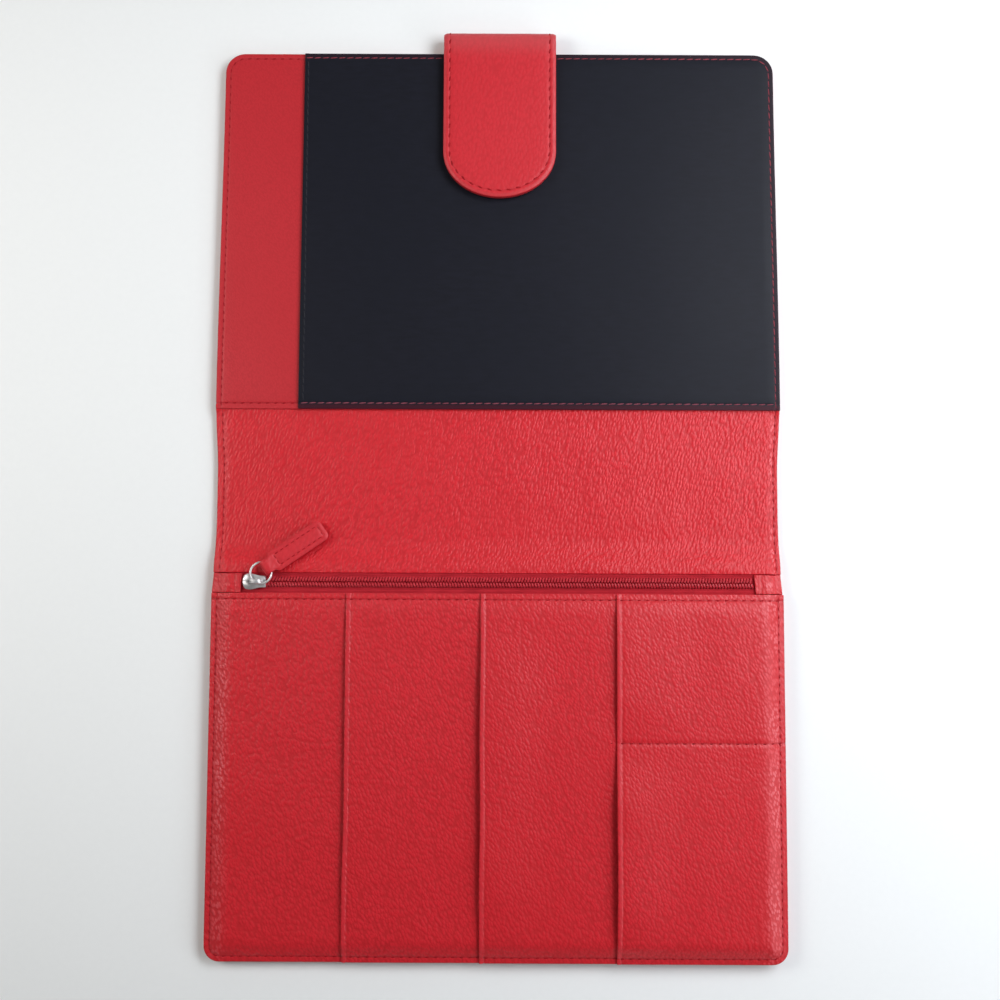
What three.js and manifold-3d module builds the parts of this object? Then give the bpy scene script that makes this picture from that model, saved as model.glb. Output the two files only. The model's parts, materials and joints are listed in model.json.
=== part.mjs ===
// Leather portfolio cover lying open, inside up: zip and slip pockets in front, a black pocket behind.
// Millimetres. X runs to the right, Y from the pocket edge to the flap, Z up from the table.
import * as THREE from 'three';
import Module from 'manifold-3d';
import { mergeVertices } from 'three/addons/utils/BufferGeometryUtils.js';

const wasm = await Module();
wasm.setup();

// Overall size of the open cover
const PANEL_WIDTH = 240;
const FRONT_DEPTH = 183.9;
const SPINE_DEPTH = 18;
const BACK_DEPTH = 183;
const FLAP_OVERHANG = 8.5;
const WAIST_NARROWING = 1.2;
const ZIP_NARROWING = 0.7;
const TOP_NARROWING = 1.2;
const FRONT_CORNER = 6.5;
const BACK_CORNER = 8.5;

// Bare leather between each crease and the panel beside it
const FRONT_BARE = 24.6;
const BACK_BARE = 27.2;

// Material thicknesses and the air between layers
const COVER = 1.2;
const LINING = 1.2;
const BOARD = 1.2;
const POCKET_LEATHER = 0.9;
const SLIP_LEATHER = 0.8;
const SMOOTH_LEATHER = 0.8;
const BLACK_FABRIC = 0.7;
const BAG_FABRIC = 0.3;
const AIR = 0.2;
const RUNNING = 0.3;
const EDGE_SOFTENING = 0.25;
const CREASE_CLEARANCE = 0.15;
const LINING_CLEARANCE = 0.75;
const HEM = 3;
const HEM_CLEARANCE = 0.4;
const LINING_TUCK = 2;

// Zip
const ZIP_DROP = 3.6;
const ZIP_OPENING = 8.3;
const TAPE_WIDTH = 12.5;
const TAPE = 0.5;
const TAPE_REACH = 115.6;
const TAPE_HEIGHT = 4.6;
const CHAIN_SLIT = 0.45;
const TOOTH_REACH = 0.6;
const COIL_BACK = 2.1;
const COIL_HEIGHT = 1.4;
const TOOTH_PITCH = 1.24;
const FACING_WIDTH = 1.1;
const ZIP_LEFT = -107.4;
const ZIP_RIGHT = 106.8;
const END_TAB = 1;
const END_TAB_INSET = 0.8;

// Slider, ring and pull tab
const SLIDER_X = -101.4;
const SLIDER_LENGTH = 9.6;
const SLIDER_WIDTH = 7.1;
const SLIDER_TAIL = 4.6;
const SLIDER_NOTCH = 0.7;
const SLIDER_CHEEK = 1.4;
const SLIDER_LOBE = 0.6;
const SLIDER_WAIST = 0.94;
const SLIDER_ROUND = 0.8;
const SLIDER_PLATE = 1;
const LOWER_PLATE = 0.9;
const LOWER_PLATE_SPREAD = 0.6;
const SLIDER_CHANNEL = 2.4;
const POST_WIDTH = 0.44;
const POST_LENGTH = 2.2;
const BRIDGE_START = -2.7;
const BRIDGE_END = 3.5;
const BRIDGE_LEG = 1;
const BRIDGE_WIDTH = 1.7;
const BRIDGE_HOLE = 1.6;
const BRIDGE_BAR = 0.6;
const RING_RADIUS = 4.4;
const RING_WIRE = 0.45;
const RING_OFFSET = 0.3;
const RING_LIFT = 0.75;
const PULL_YAW = 35;
const PULL_PITCH = 8.5;
const TAB_LENGTH = 28.4;
const TAB_WIDTH = 8;
const TAB_NECK = 4.4;
const TAB_THICKNESS = 2.2;
const TAB_CORNER = 1.8;
const LOOP_BACK = 2.1;
const LOOP_FRONT = 3.2;
const LOOP_THICKNESS = 4;
const LOOP_ROUND = 1.4;
const SLOT_BACK = -1.25;
const SLOT_FRONT = 1;
const SLOT_HEIGHT = 2.3;
const SLOT_ROUND = 0.7;
const TAB_FLARE = 2;
const TAB_SHOULDER = 0.8;

// Slip pockets, by the place of each folded mouth
const WIDE_MOUTH = -64.4;
const MIDDLE_MOUTH = -7.2;
const NARROW_MOUTH = 49.4;
const BLACK_MOUTH = -83;

// Closing flap
const FLAP_X = 0.3;
const FLAP_WIDTH = 48.4;
const FLAP_LENGTH = 73.2;
const FLAP_ROUND = 20;
const FLAP_LEATHER = 1.2;
const FLAP_LINING = 0.8;
const FLAP_FILLER = 1;
const FLAP_AIR = 0.6;
const FLAP_INSET = 0.9;
const BEND_CLEARANCE = 0.6;
const NECK_SWEEP = 65;
const NECK_STEPS = 14;
const INNER_START = 1;
const WRAP_CLEARANCE = 1;
const WRAP_LINING_GAP = 1.6;
const WRAP_FILLER_GAP = 0.6;
const TONGUE_DEPTH = 15;
const TONGUE_CLEARANCE = 0.4;
const FLAP_MAGNET_RADIUS = 8;
const KEEPER_RADIUS = 9;
const MAGNET_CLEARANCE = 0.3;

// Smoothness of round shapes
const CORNER_STEPS = 6;
const DISC_STEPS = 40;
const FLAP_STEPS = 24;

// Places along Y, with the middle of the whole length at zero
const overallLength = FRONT_DEPTH + SPINE_DEPTH + BACK_DEPTH + FLAP_OVERHANG;
const bottomEdge = -overallLength / 2;
const frontCrease = bottomEdge + FRONT_DEPTH;
const backCrease = frontCrease + SPINE_DEPTH;
const topEdge = backCrease + BACK_DEPTH;
const flapFold = topEdge + FLAP_OVERHANG;
const zipEdge = frontCrease - FRONT_BARE;
const zipLine = zipEdge - ZIP_DROP;
const pocketEdge = zipEdge - ZIP_OPENING;
const backEdge = backCrease + BACK_BARE;

// Heights of the layers above the table
const liningZ = COVER + AIR;
const bagZ = liningZ + BOARD + AIR;
const trayTop = TAPE_HEIGHT + TAPE;
const coilZ = trayTop + AIR / 2;
const pocketZ = trayTop + AIR;
const wideZ = pocketZ + POCKET_LEATHER + AIR;
const middleZ = wideZ + SLIP_LEATHER + AIR;
const narrowZ = middleZ + SLIP_LEATHER + AIR;
const smoothZ = bagZ;
const blackZ = smoothZ + SMOOTH_LEATHER + RUNNING;
const flapZ = blackZ + BLACK_FABRIC + FLAP_AIR;
const fillerZ = flapZ + FLAP_LINING + AIR;
const flapLeatherZ = fillerZ + FLAP_FILLER + AIR;
const bendHeight = flapLeatherZ + FLAP_LEATHER / 2;
const creaseHeight = liningZ + LINING / 2;
const neckLine = flapFold - FLAP_LEATHER / 2;
const bendRadius = (bendHeight - creaseHeight) / 2;
const bendStart = neckLine - bendRadius;

// Where the flap bends to wrap the closed cover, and where its magnet then meets the keeper
const closedThickness = SPINE_DEPTH + 2 * creaseHeight;
const wrapHeight = fillerZ + FLAP_FILLER / 2;
const wrapDrop = bendHeight - wrapHeight;
const midLength = closedThickness + WRAP_CLEARANCE - flapZ - wrapDrop;
const wrapLine = neckLine - midLength;
const flapTip = flapFold - FLAP_LENGTH;
const magnetLine = flapTip + FLAP_ROUND;
const keeperLine = frontCrease - (magnetLine + midLength - wrapDrop - backCrease);

// Half width of the cover at each place along its length
const sideStations = [
  [bottomEdge, PANEL_WIDTH / 2],
  [pocketEdge - POCKET_LEATHER, PANEL_WIDTH / 2],
  [zipEdge, PANEL_WIDTH / 2 - ZIP_NARROWING],
  [frontCrease, PANEL_WIDTH / 2 - WAIST_NARROWING],
  [backCrease, PANEL_WIDTH / 2 - WAIST_NARROWING],
  [backEdge, PANEL_WIDTH / 2],
  [topEdge, PANEL_WIDTH / 2 - TOP_NARROWING],
];

function material(color, roughness, metalness) {
  return new THREE.MeshStandardMaterial({ color, roughness, metalness });
}

const pebbledLeather = material(0xc8343a, 0.55, 0);
const smoothLeather = material(0xc02c35, 0.5, 0);
const blackCloth = material(0x24262c, 0.75, 0);
const bagCloth = material(0x7c1c24, 0.9, 0);
const tapeCloth = material(0xaf282f, 0.85, 0);
const coilNylon = material(0xb32a33, 0.45, 0);
const boardCard = material(0x8c7b66, 0.9, 0);
const silverMetal = material(0xc9c9cc, 0.28, 1);
const magnetMetal = material(0x7b7d82, 0.35, 1);

// Half width between two stations
function sideHalf(y) {
  const next = Math.max(1, sideStations.findIndex((station) => station[0] >= y));
  const [lowY, lowHalf] = sideStations[next - 1];
  const [highY, highHalf] = sideStations[next];
  return lowHalf + ((highHalf - lowHalf) * (y - lowY)) / (highY - lowY);
}

// Outline through corner points given as [x, y, corner radius]
function roundedShape(corners) {
  const shape = new THREE.Shape();
  corners.forEach(([x, y, radius], index) => {
    const before = corners[(index + corners.length - 1) % corners.length];
    const after = corners[(index + 1) % corners.length];
    const here = new THREE.Vector2(x, y);
    const entry = new THREE.Vector2(before[0] - x, before[1] - y).setLength(radius).add(here);
    const exit = new THREE.Vector2(after[0] - x, after[1] - y).setLength(radius).add(here);
    if (index === 0) {
      shape.moveTo(entry.x, entry.y);
    } else {
      shape.lineTo(entry.x, entry.y);
    }
    if (radius > 0) {
      shape.quadraticCurveTo(x, y, exit.x, exit.y);
    }
  });
  shape.closePath();
  return shape;
}

// Piece of the cover's own outline from one Y to another, set in from its sides
function coverShape(low, high, inset, lowRadius, highRadius, leftX = null) {
  const between = sideStations.map((station) => station[0]).filter((y) => y > low && y < high);
  const heights = [low, ...between, high];
  const radii = heights.map((y) => (y === low ? lowRadius : y === high ? highRadius : 0));
  const right = heights.map((y, index) => [sideHalf(y) - inset, y, radii[index]]);
  const left = right.map(([x, y, radius]) => [-x, y, radius]).reverse();
  const cutLeft = [[leftX, high, 0], [leftX, low, 0]];
  return roundedShape([...right, ...(leftX === null ? left : cutLeft)]);
}

function boxShape(left, low, right, high, radius) {
  const corners = [[left, low], [right, low], [right, high], [left, high]];
  return roundedShape(corners.map(([x, y]) => [x, y, radius]));
}

// Flat piece of one thickness, with softened edges where asked
function plate(shape, base, thickness, soften = 0) {
  const geometry = new THREE.ExtrudeGeometry(shape, {
    depth: thickness - 2 * soften,
    bevelEnabled: soften > 0,
    bevelThickness: soften,
    bevelSize: soften,
    bevelOffset: -soften,
    bevelSegments: 1,
    curveSegments: CORNER_STEPS,
  });
  return geometry.translate(0, 0, base + soften);
}

function disc(x, y, base, radius, thickness) {
  const geometry = new THREE.CylinderGeometry(radius, radius, thickness, DISC_STEPS);
  return geometry.rotateX(Math.PI / 2).translate(x, y, base + thickness / 2);
}

function block(low, high) {
  const size = high.map((value, index) => value - low[index]);
  const geometry = new THREE.BoxGeometry(...size);
  return geometry.translate(...low.map((value, index) => value + size[index] / 2));
}

function toSolid(geometry) {
  geometry.deleteAttribute('normal');
  geometry.deleteAttribute('uv');
  const merged = mergeVertices(geometry, 1e-4);
  const vertProperties = new Float32Array(merged.attributes.position.array);
  const triVerts = new Uint32Array(merged.index.array);
  return new wasm.Manifold(new wasm.Mesh({ numProp: 3, vertProperties, triVerts }));
}

function toGeometry(solid) {
  const { vertProperties, triVerts } = solid.getMesh();
  const geometry = new THREE.BufferGeometry();
  geometry.setAttribute('position', new THREE.BufferAttribute(vertProperties, 3));
  geometry.setIndex(new THREE.BufferAttribute(triVerts, 1));
  geometry.computeVertexNormals();
  return geometry;
}

function join(first, ...others) {
  return toGeometry(others.reduce((whole, geometry) => whole.add(toSolid(geometry)), toSolid(first)));
}

function cut(first, ...tools) {
  return toGeometry(tools.reduce((rest, geometry) => rest.subtract(toSolid(geometry)), toSolid(first)));
}

const portfolio = new THREE.Group();
portfolio.name = 'portfolio_cover';

function add(name, geometry, surface) {
  const mesh = new THREE.Mesh(geometry, surface);
  mesh.name = name;
  portfolio.add(mesh);
}

// Front panel: a shallow leather tray with a board, a keeper magnet and the zip pocket's cloth bag inside
function buildFrontTray() {
  const sheet = plate(coverShape(bottomEdge, frontCrease - CREASE_CLEARANCE, 0, FRONT_CORNER, 0), 0, COVER);
  const walls = plate(coverShape(bottomEdge, zipEdge, 0, FRONT_CORNER, 0), 0, trayTop);
  const hollow = coverShape(bottomEdge + HEM, frontCrease, HEM, FRONT_CORNER - HEM, 0);
  add('outer_cover_front', cut(join(sheet, walls), plate(hollow, COVER, trayTop)), pebbledLeather);

  const inner = HEM + HEM_CLEARANCE;
  const innerLow = bottomEdge + inner;
  const boardHigh = zipEdge - LINING_TUCK - HEM_CLEARANCE;
  const boardPlate = plate(coverShape(innerLow, boardHigh, inner, FRONT_CORNER - HEM, 0), liningZ, BOARD);
  const keeperHole = disc(FLAP_X, keeperLine, COVER, KEEPER_RADIUS + MAGNET_CLEARANCE, BOARD + 2 * AIR);
  add('front_board', cut(boardPlate, keeperHole), boardCard);
  add('keeper_magnet', disc(FLAP_X, keeperLine, liningZ, KEEPER_RADIUS, BOARD), magnetMetal);

  const stripHigh = zipEdge - AIR;
  const stripLow = zipEdge - FACING_WIDTH;
  const bagShape = coverShape(innerLow, stripLow - HEM_CLEARANCE, inner, FRONT_CORNER - HEM, 0);
  add('zip_bag_back', plate(bagShape, bagZ, BAG_FABRIC), bagCloth);
  const bagFront = coverShape(innerLow, zipLine - TAPE_WIDTH - HEM_CLEARANCE, inner, FRONT_CORNER - HEM, 0);
  add('zip_bag_front', plate(bagFront, TAPE_HEIGHT, BAG_FABRIC), bagCloth);
  const facing = boxShape(-TAPE_REACH, stripLow, TAPE_REACH, stripHigh, 0);
  add('zip_facing_strip', plate(facing, bagZ, TAPE_HEIGHT - AIR - bagZ), bagCloth);
}

// Inner leather of one crease side: full width when bare, narrower where it tucks under the panel
function tuckedLining(bareEnd, tuckEnd) {
  const step = Math.sign(tuckEnd - bareEnd);
  const tuckStart = tuckEnd - step * (LINING_TUCK + HEM_CLEARANCE);
  const narrow = PANEL_WIDTH / 2 - HEM - 2 * HEM_CLEARANCE - WAIST_NARROWING;
  const right = [
    [sideHalf(bareEnd), bareEnd, 0],
    [sideHalf(tuckStart), tuckStart, 0],
    [narrow, tuckStart, 0],
    [narrow, tuckEnd, 0],
  ];
  const left = right.map(([x, y, radius]) => [-x, y, radius]).reverse();
  return plate(roundedShape([...right, ...left]), liningZ, LINING);
}

function buildSpine() {
  const low = frontCrease + CREASE_CLEARANCE;
  const high = backCrease - CREASE_CLEARANCE;
  add('outer_cover_spine', plate(coverShape(low, high, 0, 0, 0), 0, COVER), pebbledLeather);
  const liningLow = frontCrease + LINING_CLEARANCE;
  const liningHigh = backCrease - LINING_CLEARANCE;
  const middle = plate(coverShape(liningLow, liningHigh, 0, 0, 0), liningZ, LINING);
  add('spine_lining_middle', middle, pebbledLeather);
  const front = tuckedLining(frontCrease - LINING_CLEARANCE, zipEdge - LINING_TUCK);
  add('spine_lining_front', front, pebbledLeather);
  const back = tuckedLining(backCrease + LINING_CLEARANCE, backEdge + LINING_TUCK);
  add('spine_lining_back', back, pebbledLeather);
}

// One side of the zip chain: a straight back and a row of pointed teeth facing the slit
function toothRow(side) {
  const count = Math.floor((ZIP_RIGHT - ZIP_LEFT - TOOTH_PITCH) / TOOTH_PITCH);
  const start = (ZIP_LEFT + ZIP_RIGHT - count * TOOTH_PITCH) / 2;
  const points = [];
  for (let tooth = 0; tooth < count; tooth += 1) {
    const x = start + tooth * TOOTH_PITCH;
    points.push(new THREE.Vector2(x, zipLine + side * (CHAIN_SLIT + TOOTH_REACH)));
    points.push(new THREE.Vector2(x + TOOTH_PITCH / 2, zipLine + side * CHAIN_SLIT));
  }
  const end = start + count * TOOTH_PITCH;
  points.push(new THREE.Vector2(end, zipLine + side * (CHAIN_SLIT + TOOTH_REACH)));
  points.push(new THREE.Vector2(end, zipLine + side * COIL_BACK));
  points.push(new THREE.Vector2(start, zipLine + side * COIL_BACK));
  return plate(new THREE.Shape(points), coilZ, COIL_HEIGHT);
}

function buildZip() {
  const upper = boxShape(-TAPE_REACH, zipLine + CHAIN_SLIT, TAPE_REACH, zipEdge, 0);
  const lower = boxShape(-TAPE_REACH, zipLine - TAPE_WIDTH, TAPE_REACH, zipLine - CHAIN_SLIT, 0);
  add('zip_tape_upper', plate(upper, TAPE_HEIGHT, TAPE), tapeCloth);
  add('zip_tape_lower', plate(lower, TAPE_HEIGHT, TAPE), tapeCloth);
  add('zip_coil_upper', toothRow(1), coilNylon);
  add('zip_coil_lower', toothRow(-1), coilNylon);
  const tabEnd = sideHalf(zipLine) - END_TAB_INSET;
  const leftTab = boxShape(-tabEnd, pocketEdge + AIR, ZIP_LEFT, zipEdge, EDGE_SOFTENING * 2);
  const rightTab = boxShape(ZIP_RIGHT, pocketEdge + AIR, tabEnd, zipEdge, EDGE_SOFTENING * 2);
  add('zip_end_tab_left', plate(leftTab, pocketZ, END_TAB, EDGE_SOFTENING), pebbledLeather);
  add('zip_end_tab_right', plate(rightTab, pocketZ, END_TAB, EDGE_SOFTENING), pebbledLeather);
}

// Slip pockets: each layer starts at its folded mouth and runs on under the right-hand seam
function buildPockets() {
  const base = coverShape(bottomEdge, pocketEdge, 0, FRONT_CORNER, 0);
  add('pocket_panel', plate(base, pocketZ, POCKET_LEATHER, EDGE_SOFTENING), pebbledLeather);
  const layers = [
    ['slip_pocket_wide', WIDE_MOUTH, wideZ],
    ['slip_pocket_middle', MIDDLE_MOUTH, middleZ],
    ['slip_pocket_narrow', NARROW_MOUTH, narrowZ],
  ];
  for (const [name, mouth, height] of layers) {
    const layer = coverShape(bottomEdge, pocketEdge, 0, FRONT_CORNER, 0, mouth);
    add(name, plate(layer, height, SLIP_LEATHER, EDGE_SOFTENING), pebbledLeather);
  }
}

// Slider: shield-shaped upper and lower plates joined by a thin post, with a bridge for the ring on top
function sliderShape(spread) {
  const nose = -SLIDER_LENGTH / 2;
  const tail = SLIDER_LENGTH / 2;
  const wide = (SLIDER_WIDTH / 2) * spread;
  const narrow = (SLIDER_TAIL / 2) * spread;
  const corners = [
    [nose + SLIDER_NOTCH, 0, SLIDER_NOTCH / 2],
    [nose, -wide * SLIDER_LOBE, SLIDER_ROUND],
    [nose + SLIDER_CHEEK, -wide, SLIDER_ROUND],
    [0, -wide * SLIDER_WAIST, SLIDER_ROUND],
    [tail, -narrow, SLIDER_ROUND],
    [tail, narrow, SLIDER_ROUND],
    [0, wide * SLIDER_WAIST, SLIDER_ROUND],
    [nose + SLIDER_CHEEK, wide, SLIDER_ROUND],
    [nose, wide * SLIDER_LOBE, SLIDER_ROUND],
  ];
  return roundedShape(corners.map(([x, y, radius]) => [x + SLIDER_X, y + zipLine, radius]));
}

const coilTop = coilZ + COIL_HEIGHT;
const channelTop = coilTop + RUNNING;
const sliderTop = channelTop + SLIDER_PLATE;
const ringHeight = sliderTop + RING_LIFT;

function buildSlider() {
  const flangeBase = trayTop + RUNNING;
  const upper = plate(sliderShape(1), flangeBase, sliderTop - flangeBase);
  const reach = SLIDER_LENGTH;
  const channelLow = [SLIDER_X - reach, zipLine - SLIDER_CHANNEL, TAPE_HEIGHT];
  const channelHigh = [SLIDER_X + reach, zipLine + SLIDER_CHANNEL, channelTop];
  const capped = cut(upper, block(channelLow, channelHigh));
  const lowerTop = TAPE_HEIGHT - RUNNING;
  const lower = plate(sliderShape(LOWER_PLATE_SPREAD), lowerTop - LOWER_PLATE, LOWER_PLATE);
  const postStart = SLIDER_X - SLIDER_LENGTH / 2 + SLIDER_NOTCH + RUNNING;
  const postLow = [postStart, zipLine - POST_WIDTH / 2, lowerTop - SLIDER_PLATE / 2];
  const postHigh = [postStart + POST_LENGTH, zipLine + POST_WIDTH / 2, channelTop + SLIDER_PLATE / 2];
  const bridgeTop = sliderTop + BRIDGE_HOLE + BRIDGE_BAR;
  const arch = roundedShape([
    [SLIDER_X + BRIDGE_START, sliderTop - SLIDER_PLATE / 2, 0],
    [SLIDER_X + BRIDGE_END, sliderTop - SLIDER_PLATE / 2, 0],
    [SLIDER_X + BRIDGE_END, bridgeTop, BRIDGE_LEG],
    [SLIDER_X + BRIDGE_START, bridgeTop, BRIDGE_LEG],
  ]);
  const bridge = plate(arch, -BRIDGE_WIDTH / 2, BRIDGE_WIDTH).rotateX(Math.PI / 2).translate(0, zipLine, 0);
  const holeLow = [SLIDER_X + BRIDGE_START + BRIDGE_LEG, zipLine - BRIDGE_WIDTH, sliderTop];
  const holeHigh = [SLIDER_X + BRIDGE_END - BRIDGE_LEG, zipLine + BRIDGE_WIDTH, sliderTop + BRIDGE_HOLE];
  const whole = join(capped, lower, block(postLow, postHigh), bridge);
  add('zip_slider', cut(whole, block(holeLow, holeHigh)), silverMetal);
}

// Ring through the bridge, and the leather tab folded round the ring and lying down on the bare leather
function buildPull() {
  const yaw = THREE.MathUtils.degToRad(PULL_YAW);
  const along = new THREE.Vector3(Math.cos(yaw), Math.sin(yaw), 0);
  const held = new THREE.Vector3(SLIDER_X + RING_OFFSET, zipLine, ringHeight);
  const ringCentre = held.clone().addScaledVector(along, RING_RADIUS);
  const ring = new THREE.TorusGeometry(RING_RADIUS, RING_WIRE, 8, DISC_STEPS);
  add('pull_ring', ring.translate(ringCentre.x, ringCentre.y, ringCentre.z), silverMetal);

  const half = LOOP_THICKNESS / 2;
  const loopSide = boxShape(-LOOP_BACK, -half, LOOP_FRONT, half, LOOP_ROUND);
  loopSide.holes.push(boxShape(SLOT_BACK, -SLOT_HEIGHT / 2, SLOT_FRONT, SLOT_HEIGHT / 2, SLOT_ROUND));
  const loop = plate(loopSide, -TAB_NECK / 2, TAB_NECK).rotateX(Math.PI / 2);
  const bladeStart = (SLOT_FRONT + LOOP_FRONT) / 2;
  const neckEnd = LOOP_FRONT + TAB_FLARE;
  const blade = roundedShape([
    [bladeStart, -TAB_NECK / 2, 0],
    [LOOP_FRONT, -TAB_NECK / 2, TAB_SHOULDER],
    [neckEnd, -TAB_WIDTH / 2, TAB_SHOULDER],
    [TAB_LENGTH, -TAB_WIDTH / 2, TAB_CORNER],
    [TAB_LENGTH, TAB_WIDTH / 2, TAB_CORNER],
    [neckEnd, TAB_WIDTH / 2, TAB_SHOULDER],
    [LOOP_FRONT, TAB_NECK / 2, TAB_SHOULDER],
    [bladeStart, TAB_NECK / 2, 0],
  ]);
  const tab = join(loop, plate(blade, -TAB_THICKNESS / 2, TAB_THICKNESS, EDGE_SOFTENING));
  const tabPoint = held.clone().addScaledVector(along, 2 * RING_RADIUS);
  tab.rotateY(THREE.MathUtils.degToRad(PULL_PITCH)).rotateZ(yaw);
  add('pull_tab', tab.translate(tabPoint.x, tabPoint.y, tabPoint.z), pebbledLeather);
}

// Back panel: leather tray and board under a smooth lining, with the black slip pocket on top
function buildBackPanel() {
  const sheet = plate(coverShape(backCrease + CREASE_CLEARANCE, topEdge, 0, 0, BACK_CORNER), 0, COVER);
  const rim = plate(coverShape(backEdge, topEdge, 0, 0, BACK_CORNER), 0, liningZ + LINING);
  const hollow = coverShape(backCrease, topEdge - HEM, HEM, 0, BACK_CORNER - HEM);
  const half = FLAP_WIDTH / 2 + TONGUE_CLEARANCE;
  const notchLow = [FLAP_X - half, topEdge - TONGUE_DEPTH - TONGUE_CLEARANCE, COVER];
  const notchHigh = [FLAP_X + half, topEdge + HEM, smoothZ];
  const trayCuts = [plate(hollow, COVER, smoothZ), block(notchLow, notchHigh)];
  add('outer_cover_back', cut(join(sheet, rim), ...trayCuts), pebbledLeather);

  const inner = HEM + HEM_CLEARANCE;
  const boardLow = backEdge + LINING_TUCK + HEM_CLEARANCE;
  const boardShape = coverShape(boardLow, topEdge - inner, inner, 0, BACK_CORNER - HEM);
  const boardPlate = plate(boardShape, liningZ, BOARD);
  add('back_board', cut(boardPlate, block(notchLow, notchHigh)), boardCard);

  const liningShape = coverShape(backEdge, topEdge, 0, 0, BACK_CORNER);
  add('back_lining', plate(liningShape, smoothZ, SMOOTH_LEATHER, EDGE_SOFTENING), smoothLeather);
  const blackShape = coverShape(backEdge, topEdge, 0, 0, BACK_CORNER, BLACK_MOUTH);
  add('black_pocket', plate(blackShape, blackZ, BLACK_FABRIC, EDGE_SOFTENING), blackCloth);
}

// Outline of one stretch of the flap, with a half-oval end where asked
function flapShape(low, high, inset, oval) {
  const half = FLAP_WIDTH / 2 - inset;
  const shape = new THREE.Shape();
  shape.moveTo(FLAP_X + half, high);
  shape.lineTo(FLAP_X - half, high);
  if (oval) {
    const round = FLAP_ROUND - inset;
    shape.lineTo(FLAP_X - half, low + FLAP_ROUND);
    for (let step = 1; step <= FLAP_STEPS; step += 1) {
      const angle = Math.PI + (Math.PI * step) / FLAP_STEPS;
      shape.lineTo(FLAP_X + half * Math.cos(angle), low + FLAP_ROUND + round * Math.sin(angle));
    }
  } else {
    shape.lineTo(FLAP_X - half, low);
    shape.lineTo(FLAP_X + half, low);
  }
  shape.closePath();
  return shape;
}

// Rounded leather of the fold, seen from the side as part of a circle and drawn out across the flap
function foldedNeck() {
  const sweep = THREE.MathUtils.degToRad(NECK_SWEEP);
  const middle = (bendHeight + creaseHeight) / 2;
  const arc = (radius, from, to) => Array.from({ length: NECK_STEPS + 1 }, (_, step) => {
    const angle = from + ((to - from) * step) / NECK_STEPS;
    return new THREE.Vector2(bendStart + radius * Math.cos(angle), middle + radius * Math.sin(angle));
  });
  const outside = arc(bendRadius + FLAP_LEATHER / 2, -sweep, sweep);
  const inside = arc(bendRadius - FLAP_LEATHER / 2, sweep, -sweep);
  const profile = plate(new THREE.Shape([...outside, ...inside]), FLAP_X - FLAP_WIDTH / 2, FLAP_WIDTH);
  const acrossAxes = [new THREE.Vector3(0, 1, 0), new THREE.Vector3(0, 0, 1), new THREE.Vector3(1, 0, 0)];
  return profile.applyMatrix4(new THREE.Matrix4().makeBasis(...acrossAxes));
}

// Flap: a tongue held in the top seam, a rounded fold, and two stretches that lie on the black pocket
function buildFlap() {
  const half = FLAP_WIDTH / 2;
  const tongueLow = topEdge - TONGUE_DEPTH;
  const bendEnd = bendStart + BEND_CLEARANCE;
  const tongue = boxShape(FLAP_X - half, tongueLow, FLAP_X + half, bendEnd, 0);
  add('flap_tongue', plate(tongue, liningZ, FLAP_LEATHER), pebbledLeather);
  add('flap_neck', foldedNeck(), pebbledLeather);

  const midLeather = flapShape(wrapLine + CREASE_CLEARANCE, bendEnd, 0, false);
  add('flap_leather_middle', plate(midLeather, flapLeatherZ, FLAP_LEATHER, EDGE_SOFTENING), pebbledLeather);
  const innerHigh = bendStart - INNER_START;
  const midFiller = flapShape(wrapLine + WRAP_FILLER_GAP, innerHigh, FLAP_INSET, false);
  add('flap_filler_middle', plate(midFiller, fillerZ, FLAP_FILLER), boardCard);
  const midLining = flapShape(wrapLine + WRAP_LINING_GAP, innerHigh, 0, false);
  add('flap_lining_middle', plate(midLining, flapZ, FLAP_LINING), smoothLeather);

  const tipLeather = flapShape(flapTip, wrapLine - CREASE_CLEARANCE, 0, true);
  add('flap_leather_tip', plate(tipLeather, flapLeatherZ, FLAP_LEATHER, EDGE_SOFTENING), pebbledLeather);
  const fillerShape = flapShape(flapTip, wrapLine - WRAP_FILLER_GAP, FLAP_INSET, true);
  const tipFiller = plate(fillerShape, fillerZ, FLAP_FILLER);
  const holeRadius = FLAP_MAGNET_RADIUS + MAGNET_CLEARANCE;
  const magnetHole = disc(FLAP_X, magnetLine, fillerZ - AIR, holeRadius, FLAP_FILLER + 2 * AIR);
  add('flap_filler_tip', cut(tipFiller, magnetHole), boardCard);
  add('flap_magnet', disc(FLAP_X, magnetLine, fillerZ, FLAP_MAGNET_RADIUS, FLAP_FILLER), magnetMetal);
  const tipLining = flapShape(flapTip, wrapLine - WRAP_LINING_GAP, 0, true);
  add('flap_lining_tip', plate(tipLining, flapZ, FLAP_LINING), smoothLeather);
}

buildFrontTray();
buildSpine();
buildZip();
buildPockets();
buildSlider();
buildPull();
buildBackPanel();
buildFlap();

export default portfolio;
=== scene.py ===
import json
import math
import bpy
import bmesh
from mathutils import Matrix, Vector, noise


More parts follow.
